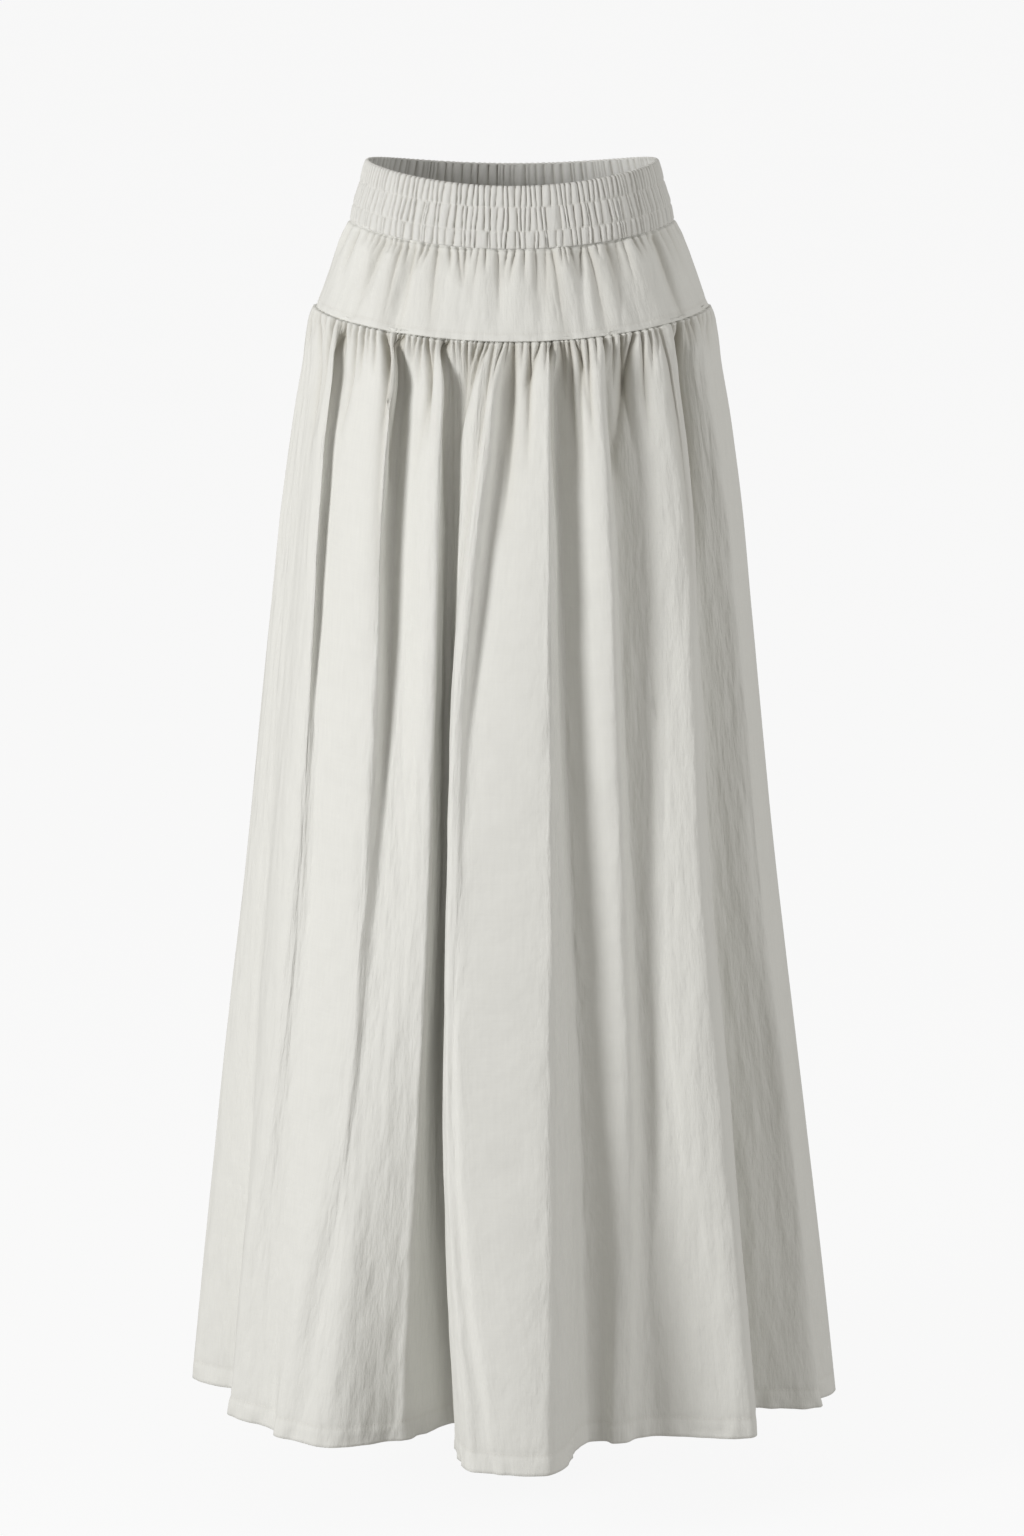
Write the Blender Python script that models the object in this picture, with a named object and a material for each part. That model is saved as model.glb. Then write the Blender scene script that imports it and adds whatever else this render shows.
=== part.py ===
"""Gathered maxi skirt, held open as when it is worn.

An elastic waistband in three ribbed channels, a flared hip yoke in two panels, and a long tier in two
panels that is gathered into the yoke's foot and falls in deep folds to a turned-up hem. The waist and
the hem are open. The front faces -Y, and the origin is the middle of the waistband.

Lengths are in metres. An azimuth is in degrees: 0 at the centre front, 90 at the side seam on +X,
180 at the centre back and 270 at the other side seam, which is also -90.
"""

from collections import namedtuple

import bmesh
import bpy
import numpy as np

# Cloth and seams
CLOTH_WALL = 0.0015
HEM_WALL = 0.0024
BAND_WALL = 0.0030
SEAM_GAP = 0.0003

# Waistband
RIBS = 88
POINTS_PER_RIB = 3
RIB_HEIGHT = 0.0017
BAND_INSIDE_POINTS = 88

# Yoke
YOKE_GATHERS = 16
POINTS_PER_YOKE_GATHER = 4

# Lower tier
TIER_GATHERS = 40
POINTS_PER_TIER_GATHER = 3
GATHER_UNEVEN = 0.3
UNEVEN_WAVES = (13, 29)
HEM_Z = -0.9705
FOLD_POINT_SPACING = 3.0
LEAST_POINTS_PER_FOLD = 3
DENSE_PER_LINE = 40

# Shares of the tier's height at which the table of folds gives their places
FOLD_HEIGHTS = (0.0, 0.12, 0.50, 1.0)

# One row for each level of the waistband, top to foot: height at the centre front, half width, half
# depth and how far the channel stands out there.
BandLevel = namedtuple("BandLevel", "front width depth puff")
BAND_LEVELS = (
    BandLevel(0.0195, 0.1140, 0.0855, 0.0000),
    BandLevel(0.0110, 0.1163, 0.0875, 0.0014),
    BandLevel(0.0030, 0.1185, 0.0890, 0.0000),
    BandLevel(-0.0060, 0.1210, 0.0908, 0.0014),
    BandLevel(-0.0150, 0.1240, 0.0925, 0.0000),
    BandLevel(-0.0215, 0.1250, 0.0938, 0.0012),
    BandLevel(-0.0280, 0.1265, 0.0950, 0.0000),
)
BAND_SIDE_RISE = 0.0120

# One row for each level of the yoke, from the band to its foot seam: share of its height, half width,
# half depth, and the height of its gathers and of its folds as shares of their own full height.
YokeLevel = namedtuple("YokeLevel", "share width depth gather fold")
YOKE_LEVELS = (
    YokeLevel(0.00, 0.1262, 0.0945, 0.5, 0.2),
    YokeLevel(0.08, 0.1296, 0.0975, 1.0, 0.9),
    YokeLevel(0.25, 0.1352, 0.1015, 0.5, 1.0),
    YokeLevel(0.55, 0.1422, 0.1068, 0.1, 0.8),
    YokeLevel(0.92, 0.1514, 0.1134, 0.0, 0.4),
    YokeLevel(1.00, 0.1536, 0.1150, 0.0, 0.0),
)
YOKE_GATHER_HEIGHT = 0.0014
YOKE_FOOT_FRONT = -0.0965
YOKE_FOOT_RISE = 0.0135

# One row for each soft fold down the yoke: azimuth at the band and at the foot, its width in degrees
# and its depth.
YokeFold = namedtuple("YokeFold", "band foot width depth")
YOKE_FOLDS = (
    YokeFold(-68, -66, 4.0, 0.0020),
    YokeFold(-48, -56, 3.5, 0.0022),
    YokeFold(-37, -38, 2.8, 0.0030),
    YokeFold(-23, -22, 3.0, 0.0018),
    YokeFold(-3, -4, 2.5, 0.0016),
    YokeFold(10, 8, 3.0, 0.0020),
    YokeFold(24, 22, 2.5, 0.0026),
    YokeFold(38, 40, 3.5, 0.0016),
    YokeFold(58, 60, 3.5, 0.0032),
    YokeFold(79, 82, 4.0, 0.0014),
    YokeFold(104, 102, 3.5, 0.0022),
    YokeFold(121, 124, 3.0, 0.0028),
    YokeFold(140, 139, 3.5, 0.0018),
    YokeFold(156, 158, 2.6, 0.0030),
    YokeFold(173, 174, 3.2, 0.0020),
    YokeFold(191, 189, 2.8, 0.0026),
    YokeFold(209, 212, 3.4, 0.0020),
    YokeFold(227, 226, 2.8, 0.0030),
    YokeFold(247, 249, 3.6, 0.0018),
)

# One row for each level of the tier's plain cone: share of the height, half width, half depth and the
# height of the gathers under the seam.
TierLevel = namedtuple("TierLevel", "share width depth gather")
TIER_LEVELS = (
    TierLevel(0.000, 0.1536, 0.1150, 0.0010),
    TierLevel(0.014, 0.1590, 0.1195, 0.0025),
    TierLevel(0.050, 0.1644, 0.1238, 0.0022),
    TierLevel(0.120, 0.1750, 0.1310, 0.0000),
    TierLevel(0.270, 0.1912, 0.1405, 0.0000),
    TierLevel(0.490, 0.2128, 0.1520, 0.0000),
    TierLevel(0.770, 0.2420, 0.1640, 0.0000),
    TierLevel(1.000, 0.2612, 0.1695, 0.0000),
)
GATHERED_ROWS = (0.0, 0.014, 0.050)
DRAPED_ROWS = (0.12, 0.22, 0.34, 0.47, 0.60, 0.73, 0.86, 0.982, 1.0)
HEM_TURN = 0.98

# One row for each line along the top or the bottom of a fold, from the side seam on -X round the front
# to the one on +X and on round the back: its azimuth at three of the fold heights (it runs straight up
# from the first of them to the seam), how far it reaches there as a share of the plain cone's radius,
# and how broad it is, in degrees, down to the middle and at the hem. Tops and bottoms take turns.
Fold = namedtuple("Fold", "top middle hem reach_top reach_middle reach_hem broad broad_hem")
FOLDS_FRONT = (
    Fold(-90, -96, -101, 1.000, 1.000, 1.02, 16, 20),
    Fold(-75, -79, -82, 0.960, 0.920, 0.79, 15, 16),
    Fold(-61, -56, -66, 1.020, 1.010, 0.97, 10, 16),
    Fold(-56, -50, -54, 0.930, 0.910, 0.91, 12, 15),
    Fold(-37, -36, -38, 1.035, 1.045, 1.06, 9, 12),
    Fold(-31, -31, -34, 0.870, 0.880, 1.00, 9, 8),
    Fold(-22, -20, -23, 1.020, 1.020, 1.00, 8, 14),
    Fold(-18, -19, -22, 0.850, 0.720, 0.51, 9, 24),
    Fold(-8, -11, -6, 1.035, 1.050, 1.24, 9, 8),
    Fold(1, -6, -3, 0.915, 1.010, 1.28, 7, 4),
    Fold(10, 6, 2, 1.035, 1.110, 1.32, 8, 10),
    Fold(16, 17, 13, 0.860, 0.840, 0.79, 10, 15),
    Fold(25, 24, 19, 1.030, 0.960, 0.86, 9, 10),
    Fold(32, 32, 31, 0.870, 0.840, 0.75, 11, 16),
    Fold(48, 42, 43, 1.030, 1.030, 1.05, 10, 16),
    Fold(59, 57, 61, 0.860, 0.790, 0.72, 14, 15),
    Fold(72, 72, 75, 1.000, 0.985, 1.00, 10, 10),
    Fold(81, 83, 81, 0.955, 0.935, 0.97, 12, 8),
)
FOLDS_BACK = (
    Fold(90, 92, 90, 1.000, 0.985, 1.01, 16, 18),
    Fold(106, 109, 111, 0.950, 0.890, 0.80, 18, 18),
    Fold(121, 123, 126, 1.030, 1.050, 1.08, 18, 20),
    Fold(133, 135, 139, 0.930, 0.850, 0.70, 16, 16),
    Fold(146, 148, 150, 1.030, 1.060, 1.10, 18, 20),
    Fold(159, 161, 163, 0.920, 0.860, 0.80, 18, 16),
    Fold(172, 173, 174, 1.030, 1.040, 1.02, 16, 16),
    Fold(184, 185, 186, 0.900, 0.770, 0.62, 14, 14),
    Fold(196, 197, 199, 1.040, 1.090, 1.20, 18, 18),
    Fold(208, 209, 211, 0.930, 0.880, 0.84, 16, 16),
    Fold(219, 220, 221, 1.020, 1.000, 0.98, 14, 14),
    Fold(230, 231, 233, 0.920, 0.840, 0.74, 16, 14),
    Fold(242, 242, 243, 1.030, 1.040, 1.06, 16, 16),
    Fold(253, 253, 251, 0.960, 0.920, 0.86, 16, 12),
)
FOLDS = FOLDS_FRONT + FOLDS_BACK

FRONT = (-90.0, 90.0)
BACK = (90.0, 270.0)
NORMAL_STEP = 0.05
SMOOTH_ANGLE = 50.0

Material = namedtuple("Material", "name colour roughness")
BAND_CLOTH = Material("band cloth", (0.66, 0.65, 0.61), 0.85)
YOKE_CLOTH = Material("yoke cloth", (0.74, 0.73, 0.70), 0.85)
TIER_CLOTH = Material("tier cloth", (0.76, 0.75, 0.72), 0.85)


def clear_scene():
    for item in list(bpy.data.objects):
        bpy.data.objects.remove(item, do_unlink=True)


def curve(knots, values, places):
    """Heights at places on a smooth curve through the knots, level at each high and low."""
    knots = np.asarray(knots, float)
    values = np.asarray(values, float)
    run = np.diff(knots)
    slope = np.diff(values) / run
    before = slope[:-1]
    after = slope[1:]
    turning = before * after <= 0
    inner = np.where(turning, 0, 2 * before * after / np.where(turning, 1, before + after))
    tangent = np.concatenate([slope[:1], inner, slope[-1:]])
    cell = np.clip(np.searchsorted(knots, places) - 1, 0, len(run) - 1)
    s = (places - knots[cell]) / run[cell]
    start = values[cell] + s * run[cell] * tangent[cell]
    end = values[cell + 1] - (1 - s) * run[cell] * tangent[cell + 1]
    blend = s * s * (3 - 2 * s)
    return start * (1 - blend) + end * blend


def column(table, name):
    return [getattr(row, name) for row in table]


def ellipse(width, depth, azimuth):
    angle = np.radians(azimuth)
    return np.stack([width * np.sin(angle), -depth * np.cos(angle)], axis=-1)


def outward(plan, azimuth):
    """Unit vectors square to the line plan(azimuth), pointing away from the wearer."""
    along = plan(azimuth + NORMAL_STEP) - plan(azimuth - NORMAL_STEP)
    along /= np.linalg.norm(along, axis=-1, keepdims=True)
    return np.stack([along[:, 1], -along[:, 0]], axis=-1)


def line(plan, height, azimuth, offset):
    """Points of plan at a height for each azimuth, moved out from the cloth's middle by offset."""
    points = plan(azimuth) + outward(plan, azimuth) * np.reshape(offset, (-1, 1))
    return np.column_stack([points, height(azimuth)])


def panel_line(plan, height, azimuth, offset):
    """A line of a panel, whose two ends stop half a gap short of the side seams."""
    points = line(plan, height, azimuth, offset)
    normal = outward(plan, azimuth[[0, -1]])
    along = np.column_stack([-normal[:, 1], normal[:, 0]])
    points[0, :2] += along[0] * SEAM_GAP / 2
    points[-1, :2] -= along[1] * SEAM_GAP / 2
    return points


def saddle(front, rise):
    """Height that rises from the centre front and back to the side seams."""
    return lambda azimuth: front + rise * np.sin(np.radians(azimuth)) ** 2


def strip(mesh, first, second, first_places, second_places):
    """Triangles between two lines of points, taking the next point on whichever line is behind."""
    i = 0
    j = 0
    while i < len(first) - 1 or j < len(second) - 1:
        first_left = i < len(first) - 1
        second_left = j < len(second) - 1
        if first_left and (not second_left or first_places[i + 1] <= second_places[j + 1]):
            mesh.faces.new((first[i], first[i + 1], second[j]))
            i += 1
        else:
            mesh.faces.new((first[i], second[j + 1], second[j]))
            j += 1


def wall(name, outer_rows, inner_rows, ring, material, collection):
    """A closed wall of cloth between outer and inner rows of points, listed from the top down.

    Each row is (places along it, points). A ring runs all round; a panel also gets its two end faces.
    """
    mesh = bmesh.new()
    sides = []
    for rows in (outer_rows, inner_rows):
        lines = []
        for row_places, points in rows:
            verts = [mesh.verts.new(point) for point in points]
            places = list(row_places)
            if ring:
                verts.append(verts[0])
                places.append(places[0] + 360.0)
            lines.append((verts, places))
        for upper, lower in zip(lines, lines[1:]):
            strip(mesh, upper[0], lower[0], upper[1], lower[1])
        sides.append(lines)
    outer, inner = sides
    for end in (0, -1):
        strip(mesh, outer[end][0], inner[end][0], outer[end][1], inner[end][1])
    if not ring:
        for end in (0, -1):
            for upper in range(len(outer) - 1):
                corners = [outer[upper], outer[upper + 1], inner[upper + 1], inner[upper]]
                mesh.faces.new([verts[end] for verts, _ in corners])
    bmesh.ops.recalc_face_normals(mesh, faces=mesh.faces[:])
    data = bpy.data.meshes.new(name)
    mesh.to_mesh(data)
    mesh.free()
    data.materials.append(cloth_material(material))
    data.shade_smooth()
    data.set_sharp_from_angle(angle=np.radians(SMOOTH_ANGLE))
    collection.objects.link(bpy.data.objects.new(name, data))


def cloth_material(kind):
    material = bpy.data.materials.new(kind.name)
    material.use_nodes = True
    shader = material.node_tree.nodes["Principled BSDF"]
    shader.inputs["Base Color"].default_value = (*kind.colour, 1.0)
    shader.inputs["Roughness"].default_value = kind.roughness
    shader.inputs["Metallic"].default_value = 0.0
    return material


def waistband(collection):
    """One ribbed ring. The channels and the grooves are in its outer points, over a plain inside."""
    around = np.arange(RIBS * POINTS_PER_RIB) * 360.0 / (RIBS * POINTS_PER_RIB)
    inside = np.arange(BAND_INSIDE_POINTS) * 360.0 / BAND_INSIDE_POINTS
    groove = 0.5 + 0.5 * np.cos(np.radians(around) * RIBS)
    outer_rows = []
    inner_rows = []
    for level in BAND_LEVELS:
        height = saddle(level.front, BAND_SIDE_RISE)

        def plan(azimuth, level=level):
            return ellipse(level.width, level.depth, azimuth)

        offset = level.puff - RIB_HEIGHT * groove
        outer_rows.append((around, line(plan, height, around, offset)))
        if level.puff == 0:
            inner_rows.append((inside, line(plan, height, inside, -BAND_WALL)))
    wall("waistband", outer_rows, inner_rows, True, BAND_CLOTH, collection)


def yoke_plan(level):
    """The yoke's middle line at one level: an ellipse with gathers and soft troughs in it."""

    def plan(azimuth):
        wave = -np.cos(np.radians(azimuth + 90.0) * 2 * YOKE_GATHERS)
        out = YOKE_GATHER_HEIGHT * level.gather * wave
        for fold in YOKE_FOLDS:
            centre = fold.band + (fold.foot - fold.band) * level.share
            away = (azimuth - centre + 180.0) % 360.0 - 180.0
            out = out - fold.depth * level.fold * np.exp(-((away / fold.width) ** 2))
        plain = ellipse(level.width, level.depth, azimuth)
        radial = plain / np.linalg.norm(plain, axis=-1, keepdims=True)
        return plain + radial * out[:, None]

    return plan


def yoke_height(share):
    top = saddle(BAND_LEVELS[-1].front - SEAM_GAP, BAND_SIDE_RISE)
    foot = saddle(YOKE_FOOT_FRONT, YOKE_FOOT_RISE)
    return lambda azimuth: (1 - share) * top(azimuth) + share * foot(azimuth)


def yoke_panel(name, span, collection):
    around = np.linspace(*span, YOKE_GATHERS * POINTS_PER_YOKE_GATHER + 1)
    outer_rows = []
    inner_rows = []
    for level in YOKE_LEVELS:
        plan = yoke_plan(level)
        height = yoke_height(level.share)
        outer_rows.append((around, panel_line(plan, height, around, CLOTH_WALL / 2)))
        inner_rows.append((around, panel_line(plan, height, around, -CLOTH_WALL / 2)))
    wall(name, outer_rows, inner_rows, False, YOKE_CLOTH, collection)


def tier_height(share):
    seam = saddle(YOKE_FOOT_FRONT - SEAM_GAP, YOKE_FOOT_RISE)
    return lambda azimuth: (1 - share) * seam(azimuth) + share * HEM_Z


def through(values, tangents, places):
    """Smooth curve through values at 0, 1, 2 and so on, leaving each at its own slope."""
    cell = np.clip(np.floor(places).astype(int), 0, len(values) - 2)
    s = places - cell
    blend = s * s * (3 - 2 * s)
    leave = s * (1 - s) ** 2 * tangents[cell]
    arrive = s * s * (1 - s) * tangents[cell + 1]
    return values[cell] * (1 - blend) + values[cell + 1] * blend + leave - arrive


def fold_section(share):
    """(azimuth, reach) at a share of the tier's height, as functions of the place among the folds.

    A place counts the fold lines from the side seam on -X, so a whole number is on a line.
    """
    lines = []
    for fold in FOLDS:
        columns = (
            (fold.top, fold.top, fold.middle, fold.hem),
            (1.0, fold.reach_top, fold.reach_middle, fold.reach_hem),
            (fold.broad, fold.broad, fold.broad, fold.broad_hem),
        )
        lines.append([curve(FOLD_HEIGHTS, values, share) for values in columns])
    azimuths, reaches, breadths = np.array(lines).T
    azimuths = np.concatenate([azimuths[-1:] - 360, azimuths, azimuths[:2] + 360])
    reaches = np.concatenate([reaches[-1:], reaches, reaches[:2]])
    breadths = np.concatenate([breadths[-1:], breadths, breadths[:2]])
    level = np.zeros_like(reaches)

    def azimuth(place):
        return through(azimuths, breadths, place + 1)

    def reach(place):
        return through(reaches, level, place + 1)

    return azimuth, reach


def tier_plan(share):
    """The tier's middle line at a share of its height: the plain cone, its folds and its gathers."""
    shares = column(TIER_LEVELS, "share")
    width = curve(shares, column(TIER_LEVELS, "width"), share)
    depth = curve(shares, column(TIER_LEVELS, "depth"), share)
    gather = curve(shares, column(TIER_LEVELS, "gather"), share)
    azimuth_at, reach_at = fold_section(share)

    def plan(place):
        azimuth = azimuth_at(place)
        angle = np.radians(azimuth)
        wave = -np.cos((angle + np.pi / 2) * 2 * TIER_GATHERS)
        uneven = 1 + sum(GATHER_UNEVEN * np.sin(waves * angle) for waves in UNEVEN_WAVES)
        plain = ellipse(width, depth, azimuth)
        radial = plain / np.linalg.norm(plain, axis=-1, keepdims=True)
        return plain * reach_at(place)[:, None] + radial * (gather * wave * uneven)[:, None]

    return plan


def fold_places(first, last):
    """Places from one side seam to the other, spread between fold lines by the gaps at the hem."""
    azimuth_at = fold_section(1.0)[0]
    stops = np.arange(first, last + 1)
    places = [[float(first)]]
    for stop, gap in zip(stops, np.diff(azimuth_at(stops.astype(float)))):
        steps = max(LEAST_POINTS_PER_FOLD, round(gap / FOLD_POINT_SPACING))
        places.append(stop + np.arange(1, steps + 1) / steps)
    return np.concatenate(places)


def gather_places(first, last, share):
    """Places of the gathers' tops and bottoms, which are evenly spread by azimuth."""
    azimuth_at = fold_section(share)[0]
    dense = np.linspace(first, last, DENSE_PER_LINE * (last - first) + 1)
    azimuths = azimuth_at(dense)
    wanted = np.linspace(azimuths[0], azimuths[-1], TIER_GATHERS * POINTS_PER_TIER_GATHER + 1)
    return np.interp(wanted, azimuths, dense)


def tier_panel(name, first, last, collection):
    """One panel of the tier, between the fold lines that its two side seams follow."""
    draped = fold_places(first, last)
    outer_rows = []
    inner_rows = []
    for share in GATHERED_ROWS + DRAPED_ROWS:
        places = gather_places(first, last, share) if share in GATHERED_ROWS else draped
        plan = tier_plan(share)
        azimuth_at = fold_section(share)[0]
        height_at = tier_height(share)

        def height(place, azimuth_at=azimuth_at, height_at=height_at):
            return height_at(azimuth_at(place))

        thickness = HEM_WALL if share > HEM_TURN else CLOTH_WALL
        inside = CLOTH_WALL / 2 - thickness
        outer_rows.append((places, panel_line(plan, height, places, CLOTH_WALL / 2)))
        inner_rows.append((places, panel_line(plan, height, places, inside)))
    wall(name, outer_rows, inner_rows, False, TIER_CLOTH, collection)


def main():
    clear_scene()
    collection = bpy.data.collections.new("gathered maxi skirt")
    bpy.context.scene.collection.children.link(collection)
    waistband(collection)
    yoke_panel("yoke_front", FRONT, collection)
    yoke_panel("yoke_back", BACK, collection)
    right_seam = len(FOLDS_FRONT)
    tier_panel("skirt_front", 0, right_seam, collection)
    tier_panel("skirt_back", right_seam, len(FOLDS), collection)


main()
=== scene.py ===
"""Looks of the gathered maxi skirt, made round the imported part.

Thin cloth shells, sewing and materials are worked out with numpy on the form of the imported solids, which
they stand for. Lengths are in metres. An azimuth is in degrees: 0 at the centre front, 90 at the side seam
on +X, 180 at the centre back and 270 at the other side seam, which is also -90.

Every surface is a grid of points: its rows run down the skirt and its columns round it from -X by the front.
"""

from collections import namedtuple

import bpy
import numpy as np
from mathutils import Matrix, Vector


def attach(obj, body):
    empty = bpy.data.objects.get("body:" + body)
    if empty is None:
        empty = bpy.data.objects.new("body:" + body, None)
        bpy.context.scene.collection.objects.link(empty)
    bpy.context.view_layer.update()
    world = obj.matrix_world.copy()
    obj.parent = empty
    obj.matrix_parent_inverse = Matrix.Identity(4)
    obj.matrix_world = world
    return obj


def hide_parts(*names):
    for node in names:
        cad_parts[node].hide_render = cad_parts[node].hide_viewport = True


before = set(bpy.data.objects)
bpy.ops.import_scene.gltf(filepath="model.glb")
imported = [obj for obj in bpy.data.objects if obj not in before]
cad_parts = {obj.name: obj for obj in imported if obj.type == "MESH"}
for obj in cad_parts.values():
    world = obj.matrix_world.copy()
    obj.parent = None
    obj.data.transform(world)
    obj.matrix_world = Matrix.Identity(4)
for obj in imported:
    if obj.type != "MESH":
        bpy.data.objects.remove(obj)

bl_info = {
    "name": "Gathered maxi skirt",
    "version": (1, 0, 0),
    "blender": (4, 5, 0),
    "location": "3D View > Sidebar > Skirt",
    "description": "Cloth shells, sewing and materials for a gathered maxi skirt",
    "category": "Object",
}

# Waistband: heights at the centre front of its top edge, its two stitch rows and its foot seam, how far it
# rises at its sides, its thickness, how far a channel puffs out, and how deep and high a row pinches it
BAND_TOP = 0.0195
BAND_ROWS = (0.0030, -0.0150)
BAND_FOOT = -0.0280
BAND_SIDE_RISE = 0.0120
BAND_THICKNESS = 0.0028
CHANNEL_PUFF = 0.0006
ROW_PINCH = 0.0004
ROW_PINCH_HEIGHT = 0.0011

# One row for each level of the waistband, foot to top: height at the centre front, half width, half depth
BandLevel = namedtuple("BandLevel", "front width depth")
BAND_LEVELS = (
    BandLevel(-0.0280, 0.1265, 0.0950),
    BandLevel(-0.0215, 0.1250, 0.0938),
    BandLevel(-0.0150, 0.1240, 0.0925),
    BandLevel(-0.0060, 0.1210, 0.0908),
    BandLevel(0.0030, 0.1185, 0.0890),
    BandLevel(0.0110, 0.1163, 0.0875),
    BandLevel(0.0195, 0.1140, 0.0855),
)

# Yoke: half width, half depth and how much of its folds shows, at shares of its height from the band to its
# foot seam
YOKE_TOP_FRONT = -0.0283
YOKE_FOOT_FRONT = -0.0965
YOKE_FOOT_RISE = 0.0135
YokeLevel = namedtuple("YokeLevel", "share width depth fold")
YOKE_LEVELS = (
    YokeLevel(0.00, 0.1262, 0.0945, 0.2),
    YokeLevel(0.08, 0.1296, 0.0975, 0.9),
    YokeLevel(0.25, 0.1352, 0.1015, 1.0),
    YokeLevel(0.55, 0.1422, 0.1068, 0.8),
    YokeLevel(0.92, 0.1514, 0.1134, 0.4),
    YokeLevel(1.00, 0.1536, 0.1150, 0.0),
)

# Tier: half width and half depth of its plain cone at shares of its height
TIER_TOP_FRONT = -0.0968
HEM_HEIGHT = -0.9705
TierLevel = namedtuple("TierLevel", "share width depth")
TIER_LEVELS = (
    TierLevel(0.000, 0.1536, 0.1150),
    TierLevel(0.014, 0.1590, 0.1195),
    TierLevel(0.050, 0.1644, 0.1238),
    TierLevel(0.120, 0.1750, 0.1310),
    TierLevel(0.270, 0.1912, 0.1405),
    TierLevel(0.490, 0.2128, 0.1520),
    TierLevel(0.770, 0.2420, 0.1640),
    TierLevel(1.000, 0.2612, 0.1695),
)

# One row for each line along the top or the bottom of a fold of the tier, from the side seam on -X round
# the front and the back: its azimuth at the seam, top, middle and hem, how far it reaches there as a share of
# the plain cone's radius, and how broad it is, in degrees, down to the middle and at the hem.
FOLD_HEIGHTS = (0.0, 0.06, 0.50, 1.0)
Fold = namedtuple("Fold", "seam top middle hem reach_top reach_middle reach_hem broad broad_hem")
FOLDS_FRONT = (
    Fold(-90, -90, -96, -101, 1.000, 1.000, 1.02, 16, 20),
    Fold(-76, -75, -79, -82, 0.960, 0.920, 0.79, 15, 16),
    Fold(-60, -57, -53, -63, 1.020, 1.010, 0.97, 8, 16),
    Fold(-56, -57, -49, -51, 0.958, 0.984, 0.96, 8, 14),
    Fold(-36, -33, -32, -42, 1.045, 1.045, 1.03, 7, 14),
    Fold(-32, -36, -29, -32, 0.855, 0.985, 1.07, 8, 10),
    Fold(-21, -19, -18, -23, 1.020, 1.020, 0.88, 6, 8),
    Fold(-18, -19, -18, -18, 0.855, 0.775, 0.56, 8, 12),
    Fold(-4, -6, -12, -5, 1.035, 1.050, 1.26, 6, 8),
    Fold(0, -2, -9, -1, 0.940, 1.055, 1.30, 6, 5),
    Fold(10, 9, 7, 4, 1.035, 1.085, 1.32, 6, 10),
    Fold(14, 14, 15, 17, 0.850, 0.865, 0.84, 7, 16),
    Fold(24, 23, 24, 21, 1.030, 0.975, 0.90, 8, 10),
    Fold(30, 31, 31, 30, 0.860, 0.865, 0.84, 7, 14),
    Fold(48, 48, 42, 44, 1.035, 1.035, 1.05, 11, 12),
    Fold(56, 60, 60, 65, 0.870, 0.845, 0.75, 7, 12),
    Fold(67, 67, 67, 73, 1.000, 1.000, 1.00, 7, 10),
    Fold(76, 75, 73, 79, 0.960, 0.950, 0.96, 7, 8),
)
FOLDS_BACK = (
    Fold(90, 90, 92, 90, 1.000, 0.985, 1.01, 16, 18),
    Fold(106, 106, 109, 111, 0.950, 0.890, 0.80, 18, 18),
    Fold(121, 121, 123, 126, 1.030, 1.050, 1.08, 18, 20),
    Fold(133, 133, 135, 139, 0.930, 0.850, 0.70, 16, 16),
    Fold(146, 146, 148, 150, 1.030, 1.060, 1.10, 18, 20),
    Fold(159, 159, 161, 163, 0.920, 0.860, 0.80, 18, 16),
    Fold(172, 172, 173, 174, 1.030, 1.040, 1.02, 16, 16),
    Fold(184, 184, 185, 186, 0.900, 0.770, 0.62, 14, 14),
    Fold(196, 196, 197, 199, 1.040, 1.090, 1.20, 18, 18),
    Fold(208, 208, 209, 211, 0.930, 0.880, 0.84, 16, 16),
    Fold(219, 219, 220, 221, 1.020, 1.000, 0.98, 14, 14),
    Fold(230, 230, 231, 233, 0.920, 0.840, 0.74, 16, 14),
    Fold(242, 242, 242, 243, 1.030, 1.040, 1.06, 16, 16),
    Fold(253, 253, 253, 251, 0.960, 0.920, 0.86, 16, 12),
)
FOLDS = FOLDS_FRONT + FOLDS_BACK
FRONT_PLACES = (0, len(FOLDS_FRONT))
BACK_PLACES = (len(FOLDS_FRONT), len(FOLDS))

# How broad the folds are at the seam, as a share of what they are below it
SEAM_BREADTH = 0.5

# One row for each soft fold down the yoke: azimuth at the band and at the foot, width in degrees, depth
YokeFold = namedtuple("YokeFold", "band foot width depth")
YOKE_FOLDS = (
    YokeFold(-68, -66, 3.6, 0.0027),
    YokeFold(-48, -56, 3.1, 0.0030),
    YokeFold(-37, -38, 2.5, 0.0041),
    YokeFold(-23, -22, 2.7, 0.0024),
    YokeFold(-3, -4, 2.2, 0.0022),
    YokeFold(10, 8, 2.7, 0.0027),
    YokeFold(24, 22, 2.2, 0.0035),
    YokeFold(38, 40, 3.1, 0.0022),
    YokeFold(58, 60, 3.1, 0.0043),
    YokeFold(79, 82, 3.6, 0.0019),
    YokeFold(104, 102, 3.1, 0.0030),
    YokeFold(121, 124, 2.7, 0.0038),
    YokeFold(140, 139, 3.1, 0.0024),
    YokeFold(156, 158, 2.3, 0.0041),
    YokeFold(173, 174, 2.9, 0.0027),
    YokeFold(191, 189, 2.5, 0.0035),
    YokeFold(209, 212, 3.1, 0.0027),
    YokeFold(227, 226, 2.5, 0.0041),
    YokeFold(247, 249, 3.2, 0.0024),
)

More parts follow.
